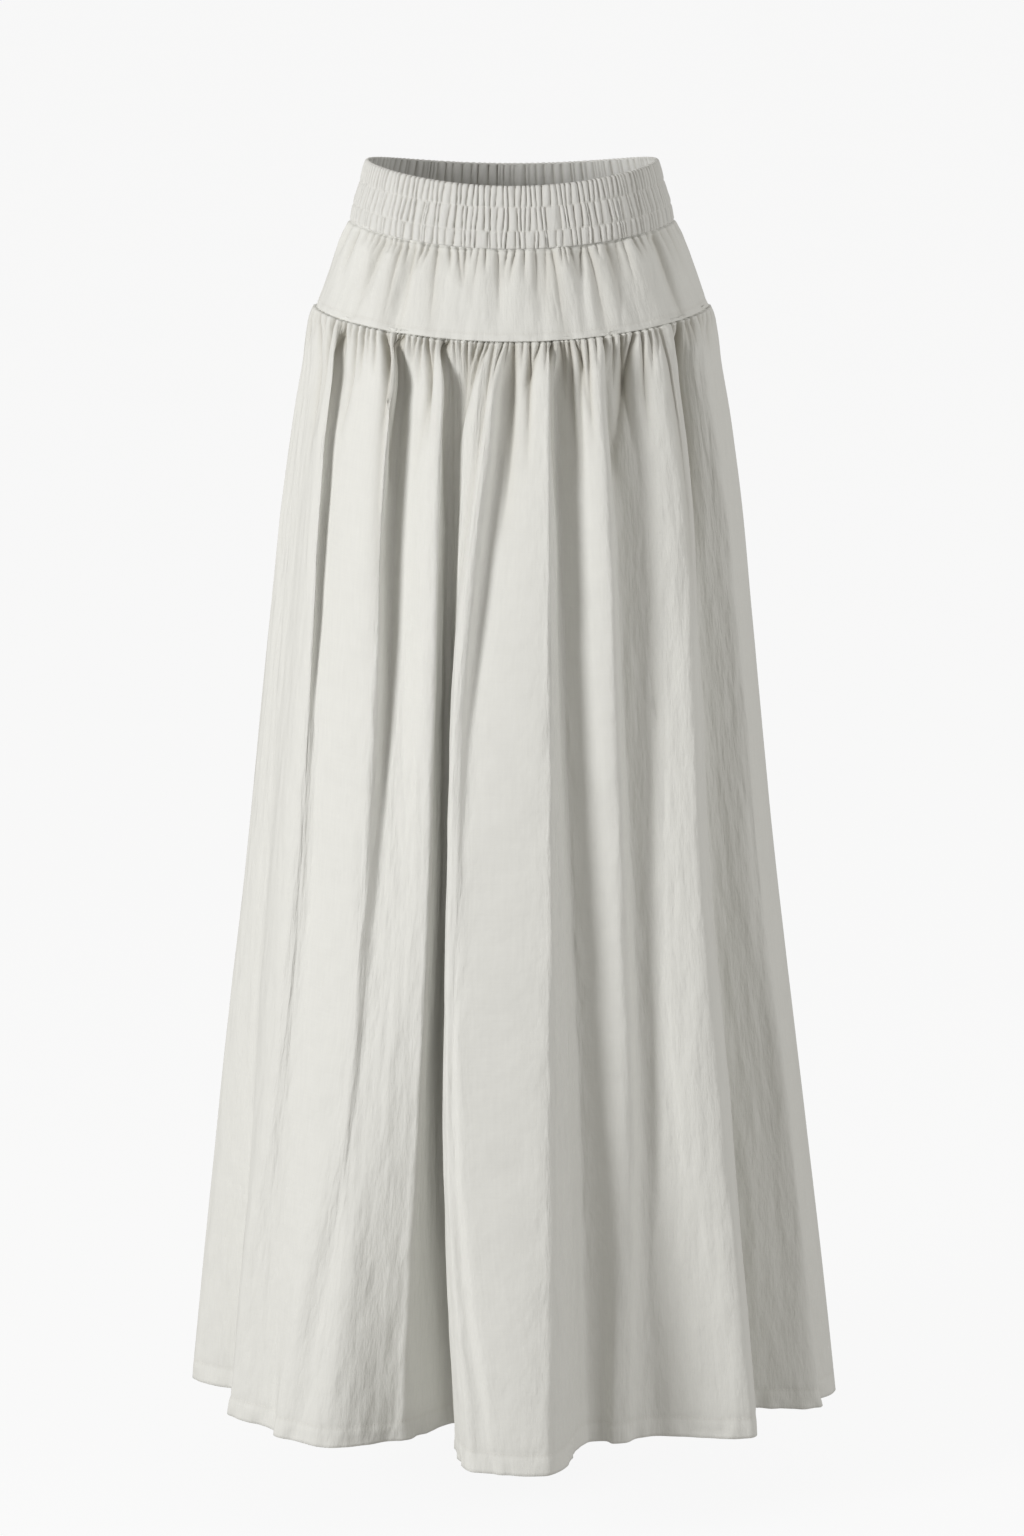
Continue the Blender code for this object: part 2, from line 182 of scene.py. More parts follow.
# One row for each gather that starts at a seam and dies out below it: azimuth at the seam, and in
# millimetres its length, depth and half width. Lean is how far it strays to +X for each unit it runs down.
Gather = namedtuple("Gather", "azimuth length depth width lean")
TIER_GATHERS = [Gather(*row) for row in (
    (-84, 35, 6.1, 1.6, 0), (-79, 25, 4.7, 1.4, 0), (-75.1, 116, 9.8, 2.1, 0.1), (-69, 23, 4.7, 1.4, 0),
    (-63.3, 96, 9.1, 2.1, -0.12), (-59.3, 30, 5.5, 1.6, 0.05), (-56.5, 124, 8.4, 1.9, -0.06),
    (-52.9, 26, 4.4, 1.2, -0.15), (-50.5, 92, 6.4, 1.6, -0.1), (-47.6, 46, 7.9, 1.4, -0.05),
    (-45.5, 28, 5.5, 1.2, 0.05), (-43.1, 38, 6, 1.2, 0.12), (-40.1, 127, 9.2, 1.9, 0.32),
    (-38.2, 264, 4.9, 2.4, 0.04), (-35.7, 46, 6.8, 1.4, 0), (-33.9, 55, 6.4, 1.4, -0.08),
    (-32.6, 134, 7.8, 2.2, -0.04), (-30.2, 24, 4.4, 1.1, 0.08), (-28.2, 28, 5.5, 1.2, -0.18),
    (-26.6, 42, 6.4, 1.3, -0.1), (-25, 85, 8.5, 1.6, 0.08), (-22.5, 111, 5.5, 1.7, -0.17),
    (-20, 147, 9.1, 2.8, 0.08), (-18.2, 55, 6.4, 1.4, -0.22), (-16.7, 24, 4.6, 1.2, 0.05),
    (-14.9, 26, 4.9, 1.2, 0.04), (-12.8, 62, 6.8, 1.4, -0.06), (-11.1, 24, 4.4, 1.2, 0),
    (-9.9, 46, 6.4, 1.3, -0.24), (-7.9, 100, 7.9, 1.6, -0.26), (-6.4, 38, 5.5, 1.2, -0.26),
    (-4.8, 231, 4.8, 2.3, -0.06), (-2.4, 42, 6, 1.3, -0.18), (-0.9, 24, 4.6, 1.2, 0),
    (0.8, 165, 8.3, 2.8, 0.03), (3.3, 24, 4.4, 1.2, 0), (5.4, 111, 7.1, 1.7, 0.02),
    (8.2, 46, 6.4, 1.4, -0.3), (9.9, 26, 4.9, 1.2, -0.04), (11.7, 143, 8.8, 2.4, 0.06),
    (14, 55, 6.4, 1.4, 0.14), (15.2, 38, 5.8, 1.3, 0.04), (16.7, 120, 7.1, 1.9, 0.06),
    (18.5, 62, 6.4, 1.4, 0.24), (20.1, 127, 5, 1.5, -0.02), (22.1, 93, 6.4, 1.6, 0.02),
    (24.6, 26, 4.9, 1.2, -0.08), (27.5, 113, 8.5, 1.9, 0.1), (30.2, 46, 6.4, 1.4, 0.1),
    (33.1, 100, 7.9, 1.6, 0.08), (35, 26, 5.1, 1.2, -0.1), (37.8, 134, 8.4, 2, -0.24),
    (40.5, 85, 6.8, 1.6, -0.02), (43.2, 42, 6, 1.3, -0.04), (45.7, 26, 4.6, 1.2, -0.12),
    (47.6, 253, 5, 2.6, 0.02), (53.2, 46, 6, 1.3, 0.04), (57, 196, 9.5, 2.6, 0.02),
    (61.1, 25, 6.7, 1.7, 0.04), (64.2, 25, 6.7, 1.7, -0.06), (69, 28, 6.7, 1.7, 0.12),
    (73, 19, 5.1, 1.6, 0.02), (77.9, 34, 6.1, 1.6, 0.02), (83.5, 20, 5, 1.6, 0),
)]
YOKE_GATHERS = [Gather(*row) for row in (
    (-84, 16, 3.3, 1, -0.07), (-77.3, 26, 4.3, 1.2, -0.1), (-68.4, 36, 5.1, 1.4, -0.07),
    (-60.7, 12, 3.3, 1, 0), (-56.6, 15, 3.7, 1.1, 0), (-53.4, 20, 4.3, 1.2, -0.07),
    (-50.5, 78, 3.9, 3.2, -0.12), (-47.6, 12, 4.6, 1.1, 0), (-45, 12, 4.6, 1.1, 0.14),
    (-42.3, 86, 5, 2.5, 0.04), (-39.2, 20, 4.3, 1.1, 0.07), (-36.2, 91, 4.2, 2.6, 0.04),
    (-32.5, 25, 5.4, 1.4, -0.13), (-30.1, 20, 4.7, 1.2, -0.13), (-26.9, 83, 4.6, 2.6, 0.08),
    (-22.3, 22, 4.7, 1.4, 0.22), (-19.3, 32, 4.7, 1.4, 0.28), (-16.4, 29, 5.1, 1.4, 0.08),
    (-14, 12, 3.7, 1, 0), (-11.4, 42, 3.7, 2, -0.08), (-9.2, 20, 4.6, 1.1, 0.07), (-5, 52, 4.2, 2, 0.07),
    (-1.6, 22, 4.6, 1.2, -0.14), (1.2, 29, 5.4, 1.4, -0.21), (4.3, 26, 4.7, 1.4, -0.03),
    (8.2, 47, 4.2, 2, -0.02), (12, 57, 3.9, 2.6, -0.08), (14.2, 86, 4.6, 2.6, 0.06), (17.1, 15, 4.3, 1.1, 0),
    (18.6, 16, 4.3, 1.1, 0.07), (20.8, 26, 5.1, 1.4, 0.1), (25.4, 26, 5.4, 1.4, -0.24),
    (27.6, 88, 5, 2.6, 0.06), (31, 12, 3.7, 1.1, 0), (35.5, 52, 5.2, 2.9, 0.02), (39.8, 31, 3.4, 2, -0.12),
    (42.6, 44, 3.4, 1.8, 0.02), (47.7, 20, 4.7, 1.2, 0.17), (51, 16, 4.6, 1.2, 0.14), (56, 15, 4, 1.1, 0.1),
    (60, 91, 4.2, 2, 0.04), (64.5, 34, 3.4, 1.8, 0.1), (70.5, 39, 3, 2, 0.08), (79, 22, 3.7, 1.2, 0.03),
    (85, 15, 3.3, 1.1, 0),
)]

# One row for each crease in the cloth: its place (an azimuth on the yoke, a count of fold lines on the
# tier), the height of its middle, and in millimetres its length, the half width of each of its sides,
# its depth (a ridge is negative) and its bow. Lean is its angle from upright, turned towards +X at its foot.
Crease = namedtuple("Crease", "place height length lean left right depth bow")
TIER_CREASES = (
    Crease(13.40, -0.362, 26, -35, 2.2, 2.2, -1.4, 0.0),
    Crease(13.47, -0.385, 34, 12, 1.8, 2.6, 1.6, 0.0),
    Crease(15.6, -0.400, 120, -24, 5.0, 3.0, 1.2, 2.0),
    Crease(12.6, -0.410, 30, -80, 2.5, 2.5, 0.7, 0.0),
)

TIER_CREASES_BACK = (
    Crease(20.40, -0.340, 44, -28, 2.4, 2.4, -1.2, 0.0),
    Crease(22.50, -0.430, 130, 20, 3.0, 5.0, 1.2, -2.0),
    Crease(27.30, -0.380, 36, 14, 2.0, 2.6, 1.5, 0.0),
    Crease(29.60, -0.560, 110, -14, 4.5, 3.0, 1.0, 1.5),
)
YOKE_CREASES = (
    Crease(35.0, -0.066, 56, -10, 1.6, 3.0, 1.3, 1.5),
    Crease(-49.0, -0.058, 48, 14, 3.0, 1.6, 0.9, -1.5),
    Crease(13.0, -0.070, 40, 6, 2.4, 1.6, 0.8, 1.0),
)

MM = 0.001

# How the surfaces' grids are spaced
TIER_COLUMNS = 560
FINE_ROWS = 32
TUCKED_HEIGHTS = np.array([-0.0026, -0.0013])
FIRST_STEP = 0.0006
STEP_GROWTH = 0.075
GROWN_ROWS = 36
DRAPE_STEP = 0.0087
PLACES_PER_LINE = 40
YOKE_COLUMNS = 700
YOKE_ROWS = 76
YOKE_TUCKED_SHARES = (-0.040, -0.020)
BAND_COLUMNS = 1400
BAND_PLAIN_ROWS = 54
BAND_FOLD_ROWS = 7
INSIDE_COLUMNS = 1000
INSIDE_ROWS = 34

# Gathers: the share of its depth that one has at the seam, how far below the seam it is fully open, how far
# above it closes, how much wider it is where it dies out, the powers of its fading down and across, and the
# power of a crease's fading across
GATHER_START = 0.58
GATHER_OPENS = 0.004
GATHER_TUCKED = 0.0026
GATHER_SPREAD = 1.7
GATHER_FADE = 1.05
GATHER_POINT = 1.12
CREASE_POINT = 1.2

# The swelling of gathered cloth below its seam, and the yoke's as a share of the tier's
PUFF_HEIGHT = 0.0024
PUFF_START = 0.0014
PUFF_LENGTH = 0.0160
YOKE_PUFF = 0.45

# Soft unevenness of the cloth: height, width and length of its cells, and how far below the tier's seam it
# sets in
RIPPLE = 0.0017
RIPPLE_CELL = (0.026, 0.150)
WRINKLE = 0.00042
WRINKLE_CELL = (0.008, 0.034)
YOKE_WRINKLE = 0.0017
YOKE_WRINKLE_CELL = (0.013, 0.050)
RIPPLE_EASE = 0.014

# Hem: its stitching's height, the puckers and the groove that it pulls, its rows of points and the cloth
# folded under
HEM_STITCH = 0.016
HEM_PUCKER = 0.0013
HEM_PUCKER_CELL = (0.009, 0.012)
HEM_GROOVE = 0.0006
HEM_GROOVE_HEIGHT = 0.0030
HEM_TURN_ROWS = 7
HEM_ROWS_ABOVE = 2
HEM_TURN_DEPTH = 0.0011

# Yoke's foot: its topstitching's height, its puckers and groove, its rolled edge and the cloth turned in
FOOT_STITCH = 0.0053
FOOT_PUCKER = 0.00045
FOOT_PUCKER_CELL = (0.0055, 0.006)
FOOT_GROOVE = 0.0002
FOOT_GROOVE_HEIGHT = 0.0009
FOOT_ROLL = 0.0005
FOOT_ROLL_HEIGHT = 0.0012
FOOT_TURN_ROWS = 4
FOOT_TURN_DEPTH = 0.0010

# Seams: the dip at a side seam, and the top edge of a panel that is tucked under the one above
SEAM_DIP = 0.0008
SEAM_WIDTH = 0.0012
SEAM_EASE = 0.0100
TUCK_DEPTH = 0.0011
YOKE_TUCK_DEPTH = 0.0006
TUCK_HEIGHT = 0.0007

# Ribs of the waistband: how uneven they are, how far one strays from channel to channel, how round one is,
# how much of its depth a stitch row takes away, how it wanders on its way down, and the ranges of the depths
# of grooves and of how they change from channel to channel, as shares
RIB_SEED = 11
RIB_UNEVENNESS = 0.30
RIB_STRAY = 0.30
RIB_ROUNDNESS = 0.45
RIB_CROWN = 0.0002
RIB_PINCHED = 0.45
RIB_WANDER = 0.32
RIB_WANDER_TURNS = 95.0
RIB_WANDER_WAVES = 37.0
GROOVE_DEPTHS = (0.70, 1.15)
STRAYED_DEPTHS = (0.80, 1.20)

# How flat the top of a puffed channel is, and the band's foot turned in: heights from its seam, and depths
PUFF_FLATNESS = 2.4
BAND_FOOT_TURN = np.array([-0.0002, 0.0006, 0.0020])
BAND_FOOT_TURN_DEPTH = np.array([0.0007, 0.0014, 0.0017])

# The band's inside: its ribs, how uneven and deep they are, and how far below the fold they set in
INSIDE_RIBS = 128
INSIDE_UNEVENNESS = 0.72
INSIDE_RIB_DEPTH = 0.0022
INSIDE_EASE = 0.0020

# Sewing: the sides of a stitch's thread, the shares of its length where its rings stand, how high its
# middle lies above the cloth and how far its ends dip, in widths of the thread
THREAD_SIDES = 5
BEAD_SHARES = (-0.95, -0.45, 0.45, 0.95)
BEAD_LIFT = 0.15
BEAD_DIP = 0.80

# How far above the band's foot seam its lowest row of stitches runs
BAND_FOOT_STITCH = 0.0016

# Seeds of the unevenness, front and back
CLOTH_SEED = 5
BACK_SEED = 23

# Cloth finish: slubs and crumples for each metre of cut, across and down; pitch of the weave; how much each
# sort of noise counts in the tint, less an offset, and in the relief; heights in millimetres
SLUB_ACROSS = 1100.0
SLUB_DOWN = 38.0
CRUMPLE_ACROSS = 70.0
CRUMPLE_DOWN = 22.0
WEAVE_PITCH = 0.0008
MOTTLE_SCALE = 55.0
MOTTLE_DETAIL = 3.0
CRUMPLE_DETAIL = 4.0
CLOTH_CONTRAST = 0.068
SLUB_TINT = 0.55
WEFT_TINT = 0.25
MOTTLE_TINT = 0.35
TINT_OFFSET = 0.08
SLUB_RELIEF = 0.7
WEFT_RELIEF = 0.4
SLUB_HEIGHT = 0.16
WEAVE_HEIGHT = 0.012
CRUMPLE_HEIGHT = 2.8
CLOTH_ROUGHNESS = 0.84
SLUB_ROUGHNESS = 0.12
CLOTH_SPECULAR = 0.25

# The slices of the noise that its sorts are cut from, so that they differ
WEFT_SLICE = 5.0
MOTTLE_SLICE = 9.0
CRUMPLE_SLICE = 2.0

# Painted shade in narrow grooves: what the painted shade keeps of each colour, how deep a gather is where it
# is painted fully dark, and the strength and half height of the painted dark line along a stitch row
PAINTED_SHADE_TINT = (0.70, 0.68, 0.64)
GATHER_DEPTH_FULLY_SHADED = 0.0065
STITCH_PAINTED_SHADE = 0.10
STITCH_PAINTED_SHADE_HEIGHT = 0.0012

# Thread finish
THREAD_SCALE = 2600.0
THREAD_SHADES = (0.93, 1.04)
THREAD_ROUGHNESS = 0.62
FIBRE_ROUGHNESS = 0.2
FIBRE_HEIGHT = 0.04
THREAD_SPECULAR = 0.3

# Numbers of node sockets: a Mix node's share, two colours and mixed colour; the place on the object; and an
# attribute as one number
MIX_SHARE = 0
MIX_FIRST = 6
MIX_SECOND = 7
MIX_COLOUR = 2
OBJECT_PLACE = 3
ATTRIBUTE_NUMBER = 2

# Studio: the camera's focal length in the photo's pixels, places and sizes in metres, and the floor's grain
PHOTO_HEIGHT = 1536
SENSOR_WIDTH = 36.0
FOCAL_PIXELS = 5895.4
CAMERA_PLACE = (0.0, -4.6, 0.506)
CAMERA_TARGET = (0.0, 0.0, -0.4542)
KEY_PLACE = (-2.8, -2.3, 0.5)
KEY_TARGET = (0.0, 0.0, -0.4)
KEY_SIZE = 1.2
FILL_PLACE = (3.2, -1.4, 0.6)
FILL_TARGET = (0.0, 0.0, -0.4)
FILL_SIZE = 2.0
SKY_COLOUR = (1.0, 0.972, 0.920)
FLOOR_HEIGHT = -1.05
FLOOR_RADIUS = 30.0
FLOOR_SIDES = 64
FLOOR_GRAIN = 0.995
FLOOR_GRAIN_SCALE = 2.0
FLOOR_BASE = (0.05, 0.05, 0.05)
WHITE = (1.0, 1.0, 1.0)

# Finishes that are already made, by kind
MADE = {}

# Flat sizes of the cut cloth, width and length
BAND_CUT = (0.95, 0.060)
INSIDE_CUT = (0.90, 0.047)


def curve(knots, values, at):
    """A smooth curve through the values at the knots, level at each high and low.

    Between two knots it blends from the line through one to the line through the other, and a line's
    slope is the harmonic mean of the slopes on its knot's two sides. Values may hold several columns.
    """
    knots = np.asarray(knots, float)
    values = np.asarray(values, float).reshape(len(knots), -1)
    at = np.asarray(at, float)[:, None]
    run = np.diff(knots)[:, None]
    slope = np.diff(values, axis=0) / run
    before = slope[:-1]
    after = slope[1:]
    turning = before * after <= 0
    inner = np.where(turning, 0, 2 * before * after / np.where(turning, 1, before + after))
    tangent = np.concatenate([slope[:1], inner, slope[-1:]])
    cell = np.clip(np.searchsorted(knots, at[:, 0]) - 1, 0, len(run) - 1)
    s = (at - knots[cell, None]) / run[cell]
    start = values[cell] + s * run[cell] * tangent[cell]
    end = values[cell + 1] - (1 - s) * run[cell] * tangent[cell + 1]
    blend = smooth(s)
    return start * (1 - blend) + end * blend


def smooth(share):
    """Eases from 0 to 1: three times the square less twice the cube, held outside that range."""
    share = np.clip(share, 0, 1)
    return share * share * (3 - 2 * share)


def bell(away, width):
    """Falls from 1 as e to minus the square of the distance, counted in widths."""
    return np.exp(-((away / width) ** 2))


def column(table, *names):
    """The named columns of a table as an array."""
    return np.array([[getattr(row, name) for name in names] for row in table], float)


def ring(width, depth, azimuth, height):
    """Points of an ellipse in each row: half its width times the azimuth's sine, and half its depth times
    minus the cosine."""
    angle = np.radians(azimuth)
    return np.dstack([width * np.sin(angle), -depth * np.cos(angle), height])


def ridden_up(front, rise, azimuth):
    """A height at the centre front that rises towards the side seams with the square of the sine."""
    return front + rise * np.sin(np.radians(azimuth)) ** 2


def outward(points):
    """Unit normals of a grid: the slope down it crossed with the slope along it."""
    normal = np.cross(np.gradient(points, axis=0), np.gradient(points, axis=1))
    return normal / np.linalg.norm(normal, axis=2, keepdims=True)


def raised(points, relief):
    """The grid moved out along its normals by the relief."""
    return points + outward(points) * relief[:, :, None]


# A grid of cloth: its points, the place of each column, each point's distance along its row and below the
# top edge, and each column's distance across the flat cut.
Cloth = namedtuple("Cloth", "points place arc below cut")


def laid_out(points, place, top_row, cut_row):
    """Measures a grid of points: lengths along its rows, and depths below one row of it."""
    steps = np.linalg.norm(np.diff(points, axis=1), axis=2)
    arc = np.pad(np.cumsum(steps, axis=1), ((0, 0), (1, 0)))
    below = points[top_row, :, 2] - points[:, :, 2]
    return Cloth(points, place, arc, below, arc[cut_row])


def across(cloth, place):
    """Each point's distance along its row from the line at a place."""
    at = np.interp(place, cloth.place, np.arange(len(cloth.place)))
    left = min(int(at), len(cloth.place) - 2)
    share = at - left
    start = cloth.arc[:, left] * (1 - share) + cloth.arc[:, left + 1] * share
    return cloth.arc - start[:, None]


def gathers_in(cloth, gathers, place_at, scale):
    """Troughs that start at the top edge. Across, each falls away as e to minus a power of the distance;
    down, it widens, and its depth rises from the share it has at the seam and falls to nothing along its
    length. Above the seam it closes within the part that is tucked away."""
    relief = np.zeros(cloth.arc.shape)
    opened = GATHER_START + (1 - GATHER_START) * smooth(cloth.below / GATHER_OPENS)
    opened *= smooth(1 + cloth.below / GATHER_TUCKED)
    for gather in gathers:
        left = np.clip(1 - cloth.below / (gather.length * MM), 0, 1)
        width = gather.width * MM * (1 + GATHER_SPREAD * (1 - left))
        away = np.abs(across(cloth, place_at(gather.azimuth)) - gather.lean * cloth.below)
        relief -= gather.depth * MM * left**GATHER_FADE * np.exp(-((away / width) ** GATHER_POINT))
    return scale * opened * relief


def puffed(cloth):
    """How far gathered cloth swells just below its seam: it rises within the puff's start, then falls as e
    to minus the distance."""
    below = np.maximum(cloth.below, 0)
    return PUFF_HEIGHT * smooth(below / PUFF_START) * np.exp(-below / PUFF_LENGTH)


def creases_in(cloth, creases, scale):
    """Troughs and ridges on the cloth. Along and across are the distances from the crease's middle, turned
    by its lean; the depth fades as the square of one less the square of the share along, and across as a
    bell that may be steeper on one side."""
    relief = np.zeros(cloth.arc.shape)
    for crease in creases:
        lean = np.radians(crease.lean)
        x = across(cloth, crease.place)
        y = crease.height - cloth.points[:, :, 2]
        along = (y * np.cos(lean) + x * np.sin(lean)) / (crease.length * MM / 2)
        inside = np.clip(1 - along**2, 0, 1)
        aside = x * np.cos(lean) - y * np.sin(lean) - crease.bow * MM * inside
        width = np.where(aside < 0, crease.left, crease.right) * MM
        relief -= scale * crease.depth * MM * inside**2 * np.exp(-np.abs(aside / width) ** CREASE_POINT)
    return relief


def uneven(cloth, seed, wide, long):
    """Soft unevenness from -1 to 1: random heights on a lattice of cells of that size across the cut and
    down the cloth, blended smoothly between the corners of each cell."""
    u = np.broadcast_to(cloth.cut / wide, cloth.arc.shape)
    v = (cloth.below - cloth.below.min()) / long
    column_index = u.astype(int)
    row_index = v.astype(int)
    lattice = np.random.default_rng(seed).uniform(-1, 1, (row_index.max() + 2, column_index.max() + 2))
    s = smooth(u - column_index)
    t = smooth(v - row_index)
    upper = lattice[row_index, column_index] * (1 - s) + lattice[row_index, column_index + 1] * s
    lower = lattice[row_index + 1, column_index] * (1 - s) + lattice[row_index + 1, column_index + 1] * s
    return upper * (1 - t) + lower * t


def between_lines(values, slopes, place):
    """Values at places among the fold lines: a cubic between two lines that leaves each at its slope.

    Values and slopes have a row for each height and a column for each line. The lines close round the
    skirt, so the last one stands before the first, and the first two follow the last.
    """
    cell = np.floor(place).astype(int) + 1
    s = place - np.floor(place)
    blend = smooth(s)
    leave = s * (1 - s) ** 2 * slopes[:, cell]
    arrive = s * s * (1 - s) * slopes[:, cell + 1]
    return values[:, cell] * (1 - blend) + values[:, cell + 1] * blend + leave - arrive


def down_lines(share, knots, turn=0.0):
    """Each fold line's value at shares of the height, by a smooth curve through its values at the knots."""
    lines = curve(FOLD_HEIGHTS, knots, share)
    return np.hstack([lines[:, -1:] - turn, lines, lines[:, :2] + turn])


def tier_azimuth(place, share):
    """The azimuth at places among the fold lines. At the seam the folds are narrower, so none overlaps."""
    knots = column(FOLDS, "seam", "top", "middle", "hem").T
    breadths = column(FOLDS, "broad", "broad", "broad", "broad_hem").T
    breadths[0] *= SEAM_BREADTH
    return between_lines(down_lines(share, knots, 360.0), down_lines(share, breadths), place)


def tier_form(place, share):
    """The tier's form at places among the fold lines and shares of its height.

    A place counts the fold lines from the side seam on -X. Each point is the plain cone's, at the azimuth
    that the fold lines give for its place, times their reach there.
    """
    knots = np.vstack([np.ones(len(FOLDS)), column(FOLDS, "reach_top", "reach_middle", "reach_hem").T])
    reaches = down_lines(share, knots)
    reach = between_lines(reaches, np.zeros_like(reaches), place)
    azimuth = tier_azimuth(place, share)
    shares = column(TIER_LEVELS, "share")[:, 0]
    width, depth = curve(shares, column(TIER_LEVELS, "width", "depth"), share).T
    down = share[:, None]
    seam = ridden_up(TIER_TOP_FRONT, YOKE_FOOT_RISE, azimuth)
    points = ring(width[:, None], depth[:, None], azimuth, (1 - down) * seam + down * HEM_HEIGHT)
    points[:, :, :2] *= reach[:, :, None]
    return points


def tier_rows():
    """Shares of the tier's height: two rows tucked under the yoke, steps that grow evenly from the seam
    to the drape's own step, that step down to the hem, and close steps round its stitching to its edge."""
    drop = TIER_TOP_FRONT - HEM_HEIGHT
    grown = FIRST_STEP / STEP_GROWTH * np.expm1(STEP_GROWTH * np.arange(GROWN_ROWS))
    step = HEM_STITCH / (HEM_TURN_ROWS - 1)
    hem = drop - step * np.arange(HEM_TURN_ROWS + HEM_ROWS_ABOVE - 1, -1, -1)
    draped = np.linspace(grown[-1], hem[0], round((hem[0] - grown[-1]) / DRAPE_STEP))[1:-1]
    return np.concatenate([TUCKED_HEIGHTS, grown, draped, hem]) / drop


def tier_columns(first, last):
    """Places spread evenly by the sum of two shares: that of the seam's length and that of the hem's.

    There are twice as many as the drape needs, for the gathers of the head."""
    place = np.linspace(first, last, PLACES_PER_LINE * (last - first) + 1)
    steps = np.linalg.norm(np.diff(tier_form(place, np.array([0.0, 1.0])), axis=1), axis=2)
    gone = np.pad(np.cumsum(steps / steps.sum(axis=1, keepdims=True), axis=1).sum(axis=0), (1, 0))
    return np.interp(np.linspace(0, gone[-1], 2 * TIER_COLUMNS - 1), gone, place)


def met_at_seams(cloth, relief):
    """The relief eased to nothing at both side edges, where the panel meets the other one, with the dip of
    the seam instead: e to minus the distance from the edge."""
    near = np.minimum(across(cloth, cloth.place[0]), -across(cloth, cloth.place[-1]))
    return relief * smooth(near / SEAM_EASE) - SEAM_DIP * np.exp(-near / SEAM_WIDTH)


def turned_up(points, row_count, depth):
    """The lower edge folded under: an edge row halfway in and a third of the depth lower, then the last
    rows again in reverse, moved in by the depth."""
    normal = outward(points)[: -row_count - 1 : -1]
    under = points[: -row_count - 1 : -1] - normal * depth
    edge = points[-1:] - normal[:1] * depth / 2 - np.array([0, 0, depth / 3])
    return np.concatenate([points, edge, under])


def tier_panel(name, places, gathers, creases, seed, look):
    """One panel of the tier: its draped form with gathers, creases, soft unevenness, the puckers of its
    stitched hem, its top tucked under the yoke and its hem turned up."""
    place = tier_columns(*places)
    share = tier_rows()
    cloth = laid_out(tier_form(place, share), place, len(TUCKED_HEIGHTS), -1)
    seam_azimuth = tier_azimuth(place, share[:1])[0]

    def place_at(azimuth):
        return np.interp(azimuth, seam_azimuth, place)

    above_hem = cloth.points[:, :, 2] - HEM_HEIGHT
    relief = gathers_in(cloth, gathers, place_at, look.gather_scale)
    # Painted shade: a dark line along the hem's stitch row and darkening deep in the gathers, kept in an
    # attribute for the finish
    stitched = STITCH_PAINTED_SHADE * bell(above_hem - HEM_STITCH, STITCH_PAINTED_SHADE_HEIGHT)
    hollow = np.clip(stitched - relief / GATHER_DEPTH_FULLY_SHADED, 0, 1)
    soft = RIPPLE * uneven(cloth, seed, *RIPPLE_CELL) + WRINKLE * uneven(cloth, seed + 1, *WRINKLE_CELL)
    relief += look.crease_scale * soft * smooth(cloth.below / RIPPLE_EASE)
    relief += creases_in(cloth, creases, look.crease_scale)
    relief += HEM_PUCKER * uneven(cloth, seed + 2, *HEM_PUCKER_CELL) * bell(above_hem, HEM_STITCH)
    relief -= HEM_GROOVE * bell(above_hem - HEM_STITCH, HEM_GROOVE_HEIGHT)
    relief = met_at_seams(cloth, relief) + look.gather_scale * puffed(cloth)
    relief -= TUCK_DEPTH * np.exp(-np.maximum(cloth.below, 0) / TUCK_HEIGHT)
    points = raised(cloth.points, relief)
    hemmed = turned_up(points, HEM_TURN_ROWS, HEM_TURN_DEPTH)
    piece = new_piece(name, hemmed, cloth.cut, material_of("cloth", look), hollow, fine_rows=FINE_ROWS)
    return piece, points


def yoke_form(azimuth, share):
    """The yoke's form: an ellipse whose size follows its levels, its height running from band to foot."""
    levels = column(YOKE_LEVELS, "width", "depth", "fold")
    width, depth, fold = curve(column(YOKE_LEVELS, "share")[:, 0], levels, share).T[:, :, None]
    top = ridden_up(YOKE_TOP_FRONT, BAND_SIDE_RISE, azimuth)
    foot = ridden_up(YOKE_FOOT_FRONT, YOKE_FOOT_RISE, azimuth)
    down = share[:, None]
    return ring(width, depth, azimuth[None, :], (1 - down) * top + down * foot), fold


def yoke_folds(azimuth, share, fold_share):
    """Soft troughs down the yoke: each is a bell across, whose middle runs straight from band to foot."""
    relief = np.zeros((len(share), len(azimuth)))
    for fold in YOKE_FOLDS:
        middle = fold.band + (fold.foot - fold.band) * share[:, None]
        away = (azimuth[None, :] - middle + 180.0) % 360.0 - 180.0
        relief -= fold.depth * fold_share * bell(away, fold.width)
    return relief


